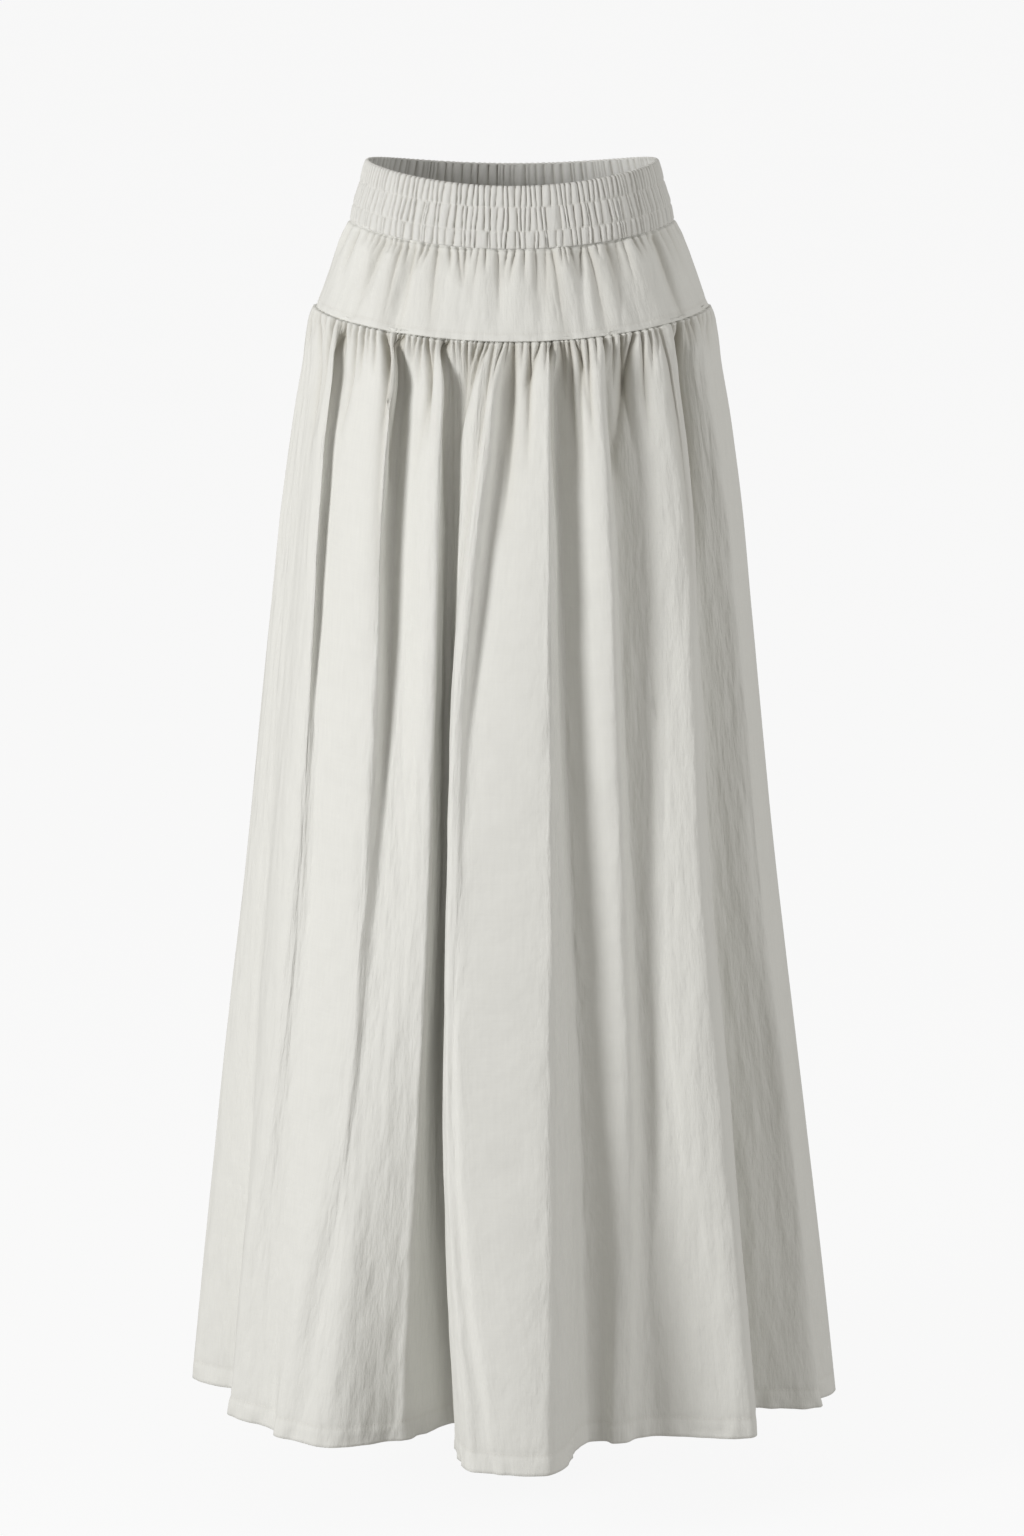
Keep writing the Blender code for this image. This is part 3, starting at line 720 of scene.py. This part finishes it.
def yoke_panel(name, sides, gathers, creases, seed, look):
    """One panel of the yoke: its flared form with folds, gathers, the groove of its topstitching with
    puckers under it, and its foot turned in along the seam."""
    azimuth = np.linspace(*sides, YOKE_COLUMNS)
    share = np.concatenate([YOKE_TUCKED_SHARES, np.linspace(0, 1, YOKE_ROWS)])
    plain, fold_share = yoke_form(azimuth, share)
    cloth = laid_out(plain, azimuth, len(YOKE_TUCKED_SHARES), -1)
    above_foot = cloth.points[:, :, 2] - cloth.points[-1, :, 2]
    gathered = gathers_in(cloth, gathers, lambda place: place, look.gather_scale)
    # Painted shade: a dark line along the topstitching and darkening deep in the gathers, kept in an
    # attribute for the finish
    stitched = STITCH_PAINTED_SHADE * bell(above_foot - FOOT_STITCH, STITCH_PAINTED_SHADE_HEIGHT)
    hollow = np.clip(stitched - gathered / GATHER_DEPTH_FULLY_SHADED, 0, 1)
    relief = yoke_folds(azimuth, share, fold_share) + gathered
    relief += creases_in(cloth, creases, look.crease_scale)
    relief += look.crease_scale * YOKE_WRINKLE * uneven(cloth, seed, *YOKE_WRINKLE_CELL)
    relief += look.crease_scale * WRINKLE * uneven(cloth, seed + 2, *WRINKLE_CELL)
    relief += FOOT_PUCKER * uneven(cloth, seed + 1, *FOOT_PUCKER_CELL) * bell(above_foot, FOOT_STITCH)
    relief -= FOOT_GROOVE * bell(above_foot - FOOT_STITCH, FOOT_GROOVE_HEIGHT)
    relief = met_at_seams(cloth, relief) + YOKE_PUFF * look.gather_scale * puffed(cloth)
    relief -= YOKE_TUCK_DEPTH * np.exp(-np.maximum(cloth.below, 0) / TUCK_HEIGHT)
    relief -= FOOT_ROLL * np.exp(-above_foot / FOOT_ROLL_HEIGHT)
    points = raised(cloth.points, relief)
    turned = turned_up(points, FOOT_TURN_ROWS, FOOT_TURN_DEPTH)
    piece = new_piece(name, turned, cloth.cut, material_of("cloth", look), hollow)
    return piece, points


def band_form(azimuth, height, offset):
    """The band's form: in each row an ellipse whose size follows the band's levels at that height, moved
    out along its own normal by the offset."""
    width, depth = curve(column(BAND_LEVELS, "front")[:, 0], column(BAND_LEVELS, "width", "depth"), height).T
    width = width[:, None]
    depth = depth[:, None]
    points = ring(width, depth, azimuth[None, :], ridden_up(height[:, None], BAND_SIDE_RISE, azimuth))
    angle = np.radians(azimuth)
    normal = np.dstack([depth * np.sin(angle), -width * np.cos(angle)])
    normal /= np.linalg.norm(normal, axis=2, keepdims=True)
    points[:, :, :2] += normal * offset[:, :, None]
    return points


# The grooves between the ribs of one channel: their azimuths, and how deep each is as a share
Grooves = namedtuple("Grooves", "azimuths depths")


def grooves(rng, count, unevenness):
    """Grooves all round, with gaps that vary by the unevenness either way."""
    gaps = rng.uniform(1 - unevenness, 1 + unevenness, count)
    azimuths = -90 + 360 * np.cumsum(gaps) / gaps.sum()
    return Grooves(azimuths, rng.uniform(*GROOVE_DEPTHS, count))


def strayed(rng, base, stray):
    """The grooves of another channel: the same ones, each moved a little and made deeper or shallower."""
    moved = base.azimuths + rng.normal(0, stray, len(base.azimuths)) * 360 / len(base.azimuths)
    depths = base.depths * rng.uniform(*STRAYED_DEPTHS, len(base.depths))
    return Grooves(np.sort(moved), depths)


def between_grooves(azimuth, channel):
    """How far the cloth lies below the ribs' tops: 1 less the root of a parabola from groove to groove,
    times the depth of the nearer groove, blended."""
    places = np.concatenate([channel.azimuths[-1:] - 360, channel.azimuths, channel.azimuths[:1] + 360])
    depths = np.concatenate([channel.depths[-1:], channel.depths, channel.depths[:1]])
    right = np.clip(np.searchsorted(places, azimuth), 1, len(places) - 1)
    s = (azimuth - places[right - 1]) / (places[right] - places[right - 1])
    depth = depths[right - 1] * (1 - s) + depths[right] * s
    return depth * (1 - np.clip(4 * s * (1 - s), 0, 1) ** RIB_ROUNDNESS)


def pinched(height, rows):
    """How hard the stitch rows pinch at each height: a bell on the distance to the nearest row."""
    return bell(np.min(np.abs(height[:, None] - np.array(rows)), axis=1), ROW_PINCH_HEIGHT)


def waistband_outside(look):
    """The band's outside: three puffed channels of ribs parted by stitch rows, folded over at the top.

    Each channel has its own grooves, and they change over from one to the next within a stitch row.
    """
    rng = np.random.default_rng(RIB_SEED)
    first = grooves(rng, look.rib_count, RIB_UNEVENNESS)
    channels = [first, strayed(rng, first, RIB_STRAY)]
    channels.append(strayed(rng, channels[-1], RIB_STRAY))
    azimuth = np.arange(BAND_COLUMNS) * 360 / BAND_COLUMNS - 90
    half = BAND_THICKNESS / 2
    turn = np.linspace(np.pi, 0, BAND_FOLD_ROWS)
    plain = np.linspace(BAND_TOP - half, BAND_FOOT, BAND_PLAIN_ROWS)[1:]
    height = np.concatenate([BAND_TOP - half + half * np.sin(turn), plain, BAND_FOOT + BAND_FOOT_TURN])
    base = np.concatenate([half * np.cos(turn) - half, 0 * plain, -BAND_FOOT_TURN_DEPTH])
    edges = np.array([BAND_TOP, *BAND_ROWS, BAND_FOOT])
    channel = np.clip(np.searchsorted(-edges, -height) - 1, 0, len(BAND_ROWS))
    within = np.clip((edges[channel] - height) / (edges[channel] - edges[channel + 1]), 0, 1)
    puff = CHANNEL_PUFF * (1 - np.abs(2 * within - 1) ** PUFF_FLATNESS)
    pinch = pinched(height, edges[1:])
    wander = RIB_WANDER * np.sin(height[:, None] * RIB_WANDER_TURNS + np.radians(azimuth) * RIB_WANDER_WAVES)
    upper, lower = (smooth(0.5 - (height - row) / ROW_PINCH_HEIGHT) for row in BAND_ROWS)
    weights = (1 - upper, upper - lower, lower)
    relief = sum(
        weight[:, None] * between_grooves((azimuth[None, :] + wander + 90) % 360 - 90, grooved)
        for weight, grooved in zip(weights, channels)
    )
    # Painted shade: the share of groove depth between the ribs, which the finish turns into darkening
    hollow = np.clip(relief, 0, 1)
    strength = look.rib_depth * (1 - RIB_PINCHED * pinch) * smooth(1 + base / BAND_THICKNESS)
    relief = strength[:, None] * relief
    crown = RIB_CROWN * smooth(1 + base / BAND_THICKNESS)
    points = band_form(azimuth, height, (base + crown + puff - ROW_PINCH * pinch)[:, None] - relief)
    points[:BAND_FOLD_ROWS, :, 2] -= np.sin(turn)[:, None] * relief[:BAND_FOLD_ROWS]
    return points, height, hollow


def waistband_inside():
    """The band's inside, from its foot up to the fold: one run of ribs, with wider and closer ones."""
    rng = np.random.default_rng(RIB_SEED + 1)
    ribs = grooves(rng, INSIDE_RIBS, INSIDE_UNEVENNESS)
    azimuth = np.arange(INSIDE_COLUMNS) * 360 / INSIDE_COLUMNS - 90
    height = np.linspace(BAND_FOOT, BAND_TOP - BAND_THICKNESS / 2, INSIDE_ROWS)
    ease = smooth((height[-1] - height) / INSIDE_EASE)
    strength = INSIDE_RIB_DEPTH * ease * (1 - RIB_PINCHED * pinched(height, BAND_ROWS))
    crown = RIB_CROWN * ease
    # The share of groove depth between the ribs: it sets the ribs' relief and also the painted shade that the
    # finish puts in their grooves
    hollow = np.repeat(between_grooves(azimuth, ribs)[None, :], INSIDE_ROWS, axis=0)
    offset = -BAND_THICKNESS - crown[:, None] + strength[:, None] * hollow
    return band_form(azimuth, height, offset), np.clip(hollow, 0, 1)


def quads(index):
    """The faces of a grid of vertex numbers, wound so that they face its outward normals."""
    corners = (index[:-1, :-1], index[1:, :-1], index[1:, 1:], index[:-1, 1:])
    return np.stack(corners, axis=2).reshape(-1, 4)


def joined(fine, coarse):
    """The faces between a row and the next one with half as many steps: each has the fine row's extra
    vertex in its upper side."""
    corners = (fine[:-2:2], coarse[:-1], coarse[1:], fine[2::2], fine[1:-1:2])
    return np.stack(corners, axis=1)


def placed(name, mesh, material):
    """The mesh as a smooth piece of one material, which rides on the skirt's body."""
    mesh.shade_smooth()
    mesh.materials.append(material)
    piece = bpy.data.objects.new(name, mesh)
    bpy.context.scene.collection.objects.link(piece)
    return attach(piece, "root")


def new_piece(name, points, cut, material, hollow, closed=False, fine_rows=None):
    """A piece whose mesh has a vertex at each point of the grid. Its UV map holds the flat cut in metres:
    the distance across the cut, and the mean distance down it. An attribute holds the painted shade of narrow
    grooves, gathers and stitch rows, from 0 to 1, and the turned-in rows take it from the last row. Below the
    fine rows every other column is left out."""
    rows, columns = points.shape[:2]
    index = np.arange(rows * columns).reshape(rows, columns)
    down = np.pad(np.cumsum(np.linalg.norm(np.diff(points, axis=0), axis=2).mean(axis=1)), (1, 0))
    if closed:
        index = np.hstack([index, index[:, :1]])
        cut = np.append(cut, cut[-1] + cut[1])
    flat = np.dstack(np.meshgrid(cut, down))
    place = np.arange(flat.shape[0] * flat.shape[1]).reshape(flat.shape[:2])

    def faces_of(grid):
        if not fine_rows:
            return [quads(grid)]
        head = quads(grid[:fine_rows])
        step = joined(grid[fine_rows - 1], grid[fine_rows, ::2])
        return [head, step, quads(grid[fine_rows:, ::2])]

    used = np.unique(np.concatenate([faces.ravel() for faces in faces_of(index)]))
    corners = [face for faces in faces_of(index) for face in np.searchsorted(used, faces).tolist()]
    flat_corners = np.concatenate([faces.ravel() for faces in faces_of(place)])
    mesh = bpy.data.meshes.new(name)
    mesh.from_pydata(points.reshape(-1, 3)[used], [], corners)
    flat_at = flat.reshape(-1, 2)[flat_corners]
    mesh.uv_layers.new(name="cut").data.foreach_set("uv", flat_at.ravel())
    hollow = np.pad(hollow, ((0, rows - len(hollow)), (0, 0)), mode="edge")
    mesh.attributes.new("hollow", "FLOAT", "POINT").data.foreach_set("value", hollow.ravel()[used])
    return placed(name, mesh, material)


def stitch_line(points, normal, look):
    """Stitches along a line of points: beads spread evenly by its length, each a bar that narrows at its
    ends as the root of one less the square of the share along, and that dips there into the cloth."""
    steps = np.linalg.norm(np.diff(points, axis=0), axis=1)
    gone = np.pad(np.cumsum(steps), (1, 0))
    middles = np.arange(look.stitch_pitch / 2, gone[-1], look.stitch_pitch)

    def at(values, where):
        return np.stack([np.interp(where, gone, values[:, axis]) for axis in range(3)], axis=1)

    centre = at(points, middles)
    along = at(points, middles + look.stitch_pitch / 4) - at(points, middles - look.stitch_pitch / 4)
    along /= np.linalg.norm(along, axis=1, keepdims=True)
    up = at(normal, middles)
    aside = np.cross(along, up)
    share = np.array(BEAD_SHARES)[:, None]
    round_it = np.arange(THREAD_SIDES) * 2 * np.pi / THREAD_SIDES
    thick = look.thread_width / 2 * np.sqrt(1 - share**2)
    lengthwise = np.broadcast_to(look.stitch_length / 2 * share, (len(share), THREAD_SIDES))
    sideways = thick * np.cos(round_it)
    upward = thick * np.sin(round_it) + look.thread_width * (BEAD_LIFT - BEAD_DIP * share**2)
    beads = sum(
        axis[:, None, None, :] * size[None, :, :, None]
        for axis, size in ((along, lengthwise), (aside, sideways), (up, upward))
    )
    return centre[:, None, None, :] + beads


def sewn(name, lines, look):
    """All the stitches of some lines as one piece. Each bead's rings are joined by quads and closed."""
    beads = np.concatenate([stitch_line(points, normal, look) for points, normal in lines])
    count, rings, sides = beads.shape[:3]
    index = np.arange(rings * sides).reshape(rings, sides)
    after = np.roll(index, -1, axis=1)
    walls = np.stack([index[:-1], index[1:], after[1:], after[:-1]], axis=2).reshape(-1, 4)
    start = np.arange(count)[:, None, None] * rings * sides
    faces = (start + walls).reshape(-1, 4).tolist()
    for cap in (index[0], index[-1, ::-1]):
        faces += (start[:, 0] + cap).tolist()
    mesh = bpy.data.meshes.new(name)
    mesh.from_pydata(beads.reshape(-1, 3), [], faces)
    return placed(name, mesh, material_of("thread", look))


class Value:
    """A number or colour that varies over a surface: one output of a node. Sums on it add Math nodes."""

    def __init__(self, finish, socket):
        self.finish = finish
        self.socket = socket

    def math(self, operation, *others):
        return self.finish.node("ShaderNodeMath", {"operation": operation}, dict(enumerate((self, *others))))

    def __add__(self, other):
        return self.math("ADD", other)

    def __mul__(self, other):
        return self.math("MULTIPLY", other)

    def __sub__(self, other):
        return self.math("SUBTRACT", other)

    __radd__ = __add__
    __rmul__ = __mul__

    def sine(self):
        return self.math("SINE")


class Finish:
    """A material and the ways to add nodes to it."""

    def __init__(self, name):
        self.material = bpy.data.materials.new(name)
        self.material.use_nodes = True
        self.tree = self.material.node_tree
        self.tree.nodes.clear()

    def node(self, kind, settings, inputs, output=0):
        """Adds a node: its settings are set first, then its sockets get their numbers or links."""
        node = self.tree.nodes.new(kind)
        for name, setting in settings.items():
            setattr(node, name, setting)
        for key, value in inputs.items():
            if isinstance(value, Value):
                self.tree.links.new(value.socket, node.inputs[key])
            else:
                node.inputs[key].default_value = value
        return Value(self, node.outputs[output]) if node.outputs else None

    def vector(self, x, y, z):
        return self.node("ShaderNodeCombineXYZ", {}, {0: x, 1: y, 2: z})

    def noise(self, vector, scale, detail=2.0):
        """Soft noise from 0 to 1 over a vector."""
        sockets = {"Vector": vector, "Scale": scale, "Detail": detail}
        return self.node("ShaderNodeTexNoise", {"noise_dimensions": "3D"}, sockets)

    def between(self, share, first, second):
        """A colour between two, by a share of the way."""
        settings = {"data_type": "RGBA", "blend_type": "MIX"}
        sockets = {MIX_SHARE: share, MIX_FIRST: first, MIX_SECOND: second}
        return self.node("ShaderNodeMix", settings, sockets, output=MIX_COLOUR)

    def surface(self, colour, roughness, height, specular):
        """Joins up the shader. The height is in millimetres, for a Bump node that feeds Normal."""
        normal = self.node("ShaderNodeBump", {}, {"Height": height, "Distance": MM, "Strength": 1.0})
        sockets = {"Base Color": colour, "Roughness": roughness, "Normal": normal}
        shader = self.node("ShaderNodeBsdfPrincipled", {}, {**sockets, "Specular IOR Level": specular})
        self.node("ShaderNodeOutputMaterial", {}, {"Surface": shader})
        return self.material


def shade(colour, share):
    """A colour made darker or lighter, with full alpha."""
    return (*(channel * share for channel in colour), 1.0)


def cloth_finish(name, colour, slub_strength):
    """Matt plain weave: a sine of the cut's width times a sine of its length, with upright slubs, which are
    noise drawn out along the warp, a soft mottle, soft crumples, and painted shade: a darker, warmer tint in
    narrow grooves and along stitch rows."""
    finish = Finish(name)
    cut = finish.node("ShaderNodeUVMap", {"uv_map": "cut"}, {})
    u = finish.node("ShaderNodeSeparateXYZ", {}, {0: cut}, output=0)
    v = finish.node("ShaderNodeSeparateXYZ", {}, {0: cut}, output=1)
    slub = finish.noise(finish.vector(u * SLUB_ACROSS, v * SLUB_DOWN, 0.0), 1.0)
    weft = finish.noise(finish.vector(u * SLUB_DOWN, v * SLUB_ACROSS, WEFT_SLICE), 1.0)
    mottle = finish.noise(finish.vector(u, v, MOTTLE_SLICE), MOTTLE_SCALE, detail=MOTTLE_DETAIL)
    weave = (u * (2 * np.pi / WEAVE_PITCH)).sine() * (v * (2 * np.pi / WEAVE_PITCH)).sine()
    crumpled = finish.vector(u * CRUMPLE_ACROSS, v * CRUMPLE_DOWN, CRUMPLE_SLICE)
    crumple = finish.noise(crumpled, 1.0, detail=CRUMPLE_DETAIL)
    share = SLUB_TINT * slub + WEFT_TINT * weft + MOTTLE_TINT * mottle - TINT_OFFSET
    tint = finish.between(share, shade(colour, 1 - CLOTH_CONTRAST), shade(colour, 1 + CLOTH_CONTRAST))
    # Painted shade: the tint darkens and warms by the attribute, in gathers, rib grooves and along stitch
    # rows
    attribute = {"attribute_name": "hollow"}
    hollow = finish.node("ShaderNodeAttribute", attribute, {}, output=ATTRIBUTE_NUMBER)
    tint = finish.between(hollow, tint, (*(np.array(colour) * PAINTED_SHADE_TINT), 1.0))
    threads = slub_strength * (SLUB_RELIEF * slub + WEFT_RELIEF * weft)
    height = threads + WEAVE_HEIGHT * weave + CRUMPLE_HEIGHT * crumple
    return finish.surface(tint, CLOTH_ROUGHNESS + SLUB_ROUGHNESS * slub, height, CLOTH_SPECULAR)


def thread_finish(name, colour):
    """Cotton thread: a fine noise of fibres in its tint, its roughness and its relief."""
    finish = Finish(name)
    place = finish.node("ShaderNodeTexCoord", {}, {}, output=OBJECT_PLACE)
    fibre = finish.noise(place, THREAD_SCALE)
    tint = finish.between(fibre, *(shade(colour, share) for share in THREAD_SHADES))
    roughness = THREAD_ROUGHNESS + FIBRE_ROUGHNESS * fibre
    return finish.surface(tint, roughness, FIBRE_HEIGHT * fibre, THREAD_SPECULAR)


def material_of(kind, look):
    """The finish of one kind of surface, made when the first piece asks for it."""
    makers = {
        "cloth": lambda: cloth_finish("matt cotton", look.cloth_colour, SLUB_HEIGHT),
        "band": lambda: cloth_finish("ribbed cotton", look.band_colour_with_rib_shade, SLUB_HEIGHT / 2),
        "thread": lambda: thread_finish("cotton thread", look.thread_colour),
    }
    return MADE.get(kind) or MADE.setdefault(kind, makers[kind]())


def turned_to_back(gathers, seed):
    """The front's gathers for the back: the same sizes in another order, spread over its width."""
    rng = np.random.default_rng(seed)
    azimuths = np.array([gather.azimuth for gather in gathers]) + 180
    order = rng.permutation(len(gathers))
    return [
        gathers[pick]._replace(azimuth=azimuth, lean=-gathers[pick].lean)
        for azimuth, pick in zip(azimuths, order)
    ]


class SkirtLook(bpy.types.PropertyGroup):
    """Sizes and colours of the cloth and its sewing."""

    cloth_colour: bpy.props.FloatVectorProperty(
        name="Cloth",
        description="Colour of the yoke and tier",
        default=(0.755, 0.754, 0.721),
        subtype="COLOR",
    )
    # Partly the band's own colour, partly painted shade: darker than the cloth to stand for the shade between
    # its ribs
    band_colour_with_rib_shade: bpy.props.FloatVectorProperty(
        name="Waistband",
        description="Colour of the ribbed band",
        default=(0.722, 0.721, 0.696),
        subtype="COLOR",
    )
    thread_colour: bpy.props.FloatVectorProperty(
        name="Thread",
        description="Colour of the stitching",
        default=(0.790, 0.775, 0.740),
        subtype="COLOR",
    )
    gather_scale: bpy.props.FloatProperty(
        name="Gathers", description="Depth of the gathers, as a share", default=1.0, min=0.0, subtype="FACTOR"
    )
    crease_scale: bpy.props.FloatProperty(
        name="Creases", description="Depth of the creases, as a share", default=1.0, min=0.0, subtype="FACTOR"
    )
    rib_count: bpy.props.IntProperty(
        name="Ribs", description="Ribs round the outside of the waistband", default=156, min=40
    )
    rib_depth: bpy.props.FloatProperty(
        name="Rib depth", description="Depth of the grooves between ribs", default=0.0028, unit="LENGTH"
    )
    stitch_pitch: bpy.props.FloatProperty(
        name="Stitch pitch", description="From one stitch to the next", default=0.0032, unit="LENGTH"
    )
    stitch_length: bpy.props.FloatProperty(
        name="Stitch length", description="Length of the thread that shows", default=0.0026, unit="LENGTH"
    )
    thread_width: bpy.props.FloatProperty(
        name="Thread width", description="Thickness of the thread", default=0.00040, unit="LENGTH"
    )


class StudioLook(bpy.types.PropertyGroup):
    """Light and floor of the studio."""

    key_power: bpy.props.FloatProperty(
        name="Key light", description="Power of the light at the left", default=95.0, unit="POWER"
    )
    fill_power: bpy.props.FloatProperty(
        name="Fill light", description="Power of the broad light at the right", default=36.0, unit="POWER"
    )
    sky_strength: bpy.props.FloatProperty(
        name="Surrounding light", description="Strength of the even light all round", default=0.35, min=0.0
    )
    floor_brightness: bpy.props.FloatProperty(
        name="Floor", description="How pale the floor shows", default=0.92, min=0.0
    )


class SKIRT_OT_tier(bpy.types.Operator):
    """Adds the gathered tier's front and back panels and the stitching of its hem"""

    bl_idname = "skirt.add_tier"
    bl_label = "Add the tier"

    def execute(self, context):
        look = context.scene.skirt_look
        front = tier_panel("front_tier", FRONT_PLACES, TIER_GATHERS, TIER_CREASES, CLOTH_SEED, look)
        gathers = turned_to_back(TIER_GATHERS, BACK_SEED)
        back = tier_panel("back_tier", BACK_PLACES, gathers, TIER_CREASES_BACK, BACK_SEED, look)
        lines = []
        for (piece, points), node in ((front, "skirt_front"), (back, "skirt_back")):
            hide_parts(node)
            lines.append((points[-HEM_TURN_ROWS], outward(points)[-HEM_TURN_ROWS]))
        stitching = sewn("hem_stitching", lines, look)
        return {"FINISHED"}


class SKIRT_OT_yoke(bpy.types.Operator):
    """Adds the yoke's front and back panels and the topstitching of their foot"""

    bl_idname = "skirt.add_yoke"
    bl_label = "Add the yoke"

    def execute(self, context):
        look = context.scene.skirt_look
        front = yoke_panel("front_yoke", (-90, 90), YOKE_GATHERS, YOKE_CREASES, CLOTH_SEED + 3, look)
        gathers = turned_to_back(YOKE_GATHERS, BACK_SEED)
        back = yoke_panel("back_yoke", (90, 270), gathers, (), BACK_SEED + 3, look)
        lines = []
        for (piece, points), node in ((front, "yoke_front"), (back, "yoke_back")):
            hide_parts(node)
            above = points[:, :, 2].mean(axis=1) - points[-1, :, 2].mean()
            row = np.argmin(np.abs(above - FOOT_STITCH))
            lines.append((points[row], outward(points)[row]))
        sewn("yoke_topstitch", lines, look)
        return {"FINISHED"}


class SKIRT_OT_waistband(bpy.types.Operator):
    """Adds the waistband's ribbed outside and inside and its rows of stitching"""

    bl_idname = "skirt.add_waistband"
    bl_label = "Add the waistband"

    def execute(self, context):
        look = context.scene.skirt_look
        material = material_of("band", look)
        points, height, hollow = waistband_outside(look)
        cut = BAND_CUT[0] * np.arange(BAND_COLUMNS) / BAND_COLUMNS
        outside = new_piece("waistband_outside", points, cut, material, hollow, closed=True)
        inside_points, hollow = waistband_inside()
        cut = INSIDE_CUT[0] * np.arange(INSIDE_COLUMNS) / INSIDE_COLUMNS
        inside = new_piece("waistband_inside", inside_points, cut, material, hollow, closed=True)
        for piece, cut in ((outside, BAND_CUT), (inside, INSIDE_CUT)):
            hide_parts("waistband")
        round_it = np.arange(BAND_COLUMNS + 1) % BAND_COLUMNS
        normal = outward(points)
        lines = []
        for level in (*BAND_ROWS, BAND_FOOT + BAND_FOOT_STITCH):
            row = np.argmin(np.abs(height - level))
            lines.append((points[row, round_it], normal[row, round_it]))
        sewn("band_stitching", lines, look)
        return {"FINISHED"}


def aimed(name, data, place, target):
    """A light or the camera at a place, its minus Z turned to the target with its top up."""
    item = bpy.data.objects.new(name, data)
    item.location = place
    item.rotation_euler = (Vector(target) - Vector(place)).to_track_quat("-Z", "Y").to_euler()
    bpy.context.scene.collection.objects.link(item)
    return item


def area_light(name, place, target, size, power):
    """A soft round light of that size across, aimed at the target."""
    light = bpy.data.lights.new(name, "AREA")
    light.shape = "DISK"
    light.size = size
    light.energy = power
    return aimed(name, light, place, target)


def floor_finish(brightness):
    """A pale floor that shows evenly: mostly its own light, with a little of what falls on it."""
    finish = Finish("pale floor")
    place = finish.node("ShaderNodeTexCoord", {}, {}, output=OBJECT_PLACE)
    grain = finish.noise(place, FLOOR_GRAIN_SCALE)
    tint = finish.between(grain, shade(WHITE, brightness * FLOOR_GRAIN), shade(WHITE, brightness))
    glow = {"Emission Color": tint, "Emission Strength": 1.0}
    matt = {"Base Color": shade(FLOOR_BASE, 1.0), "Roughness": 1.0, "Specular IOR Level": 0.0}
    shader = finish.node("ShaderNodeBsdfPrincipled", {}, {**matt, **glow})
    finish.node("ShaderNodeOutputMaterial", {}, {"Surface": shader})
    return finish.material


class SKIRT_OT_stage(bpy.types.Operator):
    """Adds the pale floor, the studio light and the camera"""

    bl_idname = "skirt.add_stage"
    bl_label = "Add the stage"

    def execute(self, context):
        studio = context.scene.studio_look
        scene = context.scene
        scene.view_settings.view_transform = "Standard"
        angle = np.linspace(0, 2 * np.pi, FLOOR_SIDES, endpoint=False)
        height = 0 * angle + FLOOR_HEIGHT
        rim = np.stack([FLOOR_RADIUS * np.cos(angle), FLOOR_RADIUS * np.sin(angle), height], axis=1)
        mesh = bpy.data.meshes.new("floor")
        mesh.from_pydata(rim, [], [range(FLOOR_SIDES)])
        mesh.materials.append(floor_finish(studio.floor_brightness))
        floor = bpy.data.objects.new("floor", mesh)
        scene.collection.objects.link(floor)
        floor.visible_diffuse = False
        floor.visible_glossy = False
        floor.visible_shadow = False
        world = bpy.data.worlds.new("studio")
        world.use_nodes = True
        sky = world.node_tree.nodes["Background"]
        sky.inputs["Color"].default_value = shade(SKY_COLOUR, 1.0)
        sky.inputs["Strength"].default_value = studio.sky_strength
        scene.world = world
        area_light("key light", KEY_PLACE, KEY_TARGET, KEY_SIZE, studio.key_power)
        area_light("fill light", FILL_PLACE, FILL_TARGET, FILL_SIZE, studio.fill_power)
        lens = bpy.data.cameras.new("camera")
        lens.sensor_width = SENSOR_WIDTH
        lens.lens = FOCAL_PIXELS / PHOTO_HEIGHT * SENSOR_WIDTH
        lens.clip_end = 4 * FLOOR_RADIUS
        camera = aimed("camera", lens, CAMERA_PLACE, CAMERA_TARGET)
        scene.camera = camera
        return {"FINISHED"}


class SKIRT_PT_panel(bpy.types.Panel):
    """The skirt's sizes and colours, and a button for each group of pieces"""

    bl_idname = "SKIRT_PT_panel"
    bl_label = "Gathered maxi skirt"
    bl_space_type = "VIEW_3D"
    bl_region_type = "UI"
    bl_category = "Skirt"

    def draw(self, context):
        for group in (context.scene.skirt_look, context.scene.studio_look):
            for name in group.__annotations__:
                self.layout.prop(group, name)
        for operator in OPERATORS:
            self.layout.operator(operator.bl_idname)


OPERATORS = (SKIRT_OT_tier, SKIRT_OT_yoke, SKIRT_OT_waistband, SKIRT_OT_stage)
CLASSES = (SkirtLook, StudioLook, *OPERATORS, SKIRT_PT_panel)


def register():
    for each in CLASSES:
        bpy.utils.register_class(each)
    bpy.types.Scene.skirt_look = bpy.props.PointerProperty(type=SkirtLook)
    bpy.types.Scene.studio_look = bpy.props.PointerProperty(type=StudioLook)


def unregister():
    del bpy.types.Scene.studio_look
    del bpy.types.Scene.skirt_look
    for each in reversed(CLASSES):
        bpy.utils.unregister_class(each)


def main():
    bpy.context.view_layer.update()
    register()
    bpy.ops.skirt.add_tier()
    bpy.ops.skirt.add_yoke()
    bpy.ops.skirt.add_waistband()
    bpy.ops.skirt.add_stage()


if __name__ == "__main__":
    main()
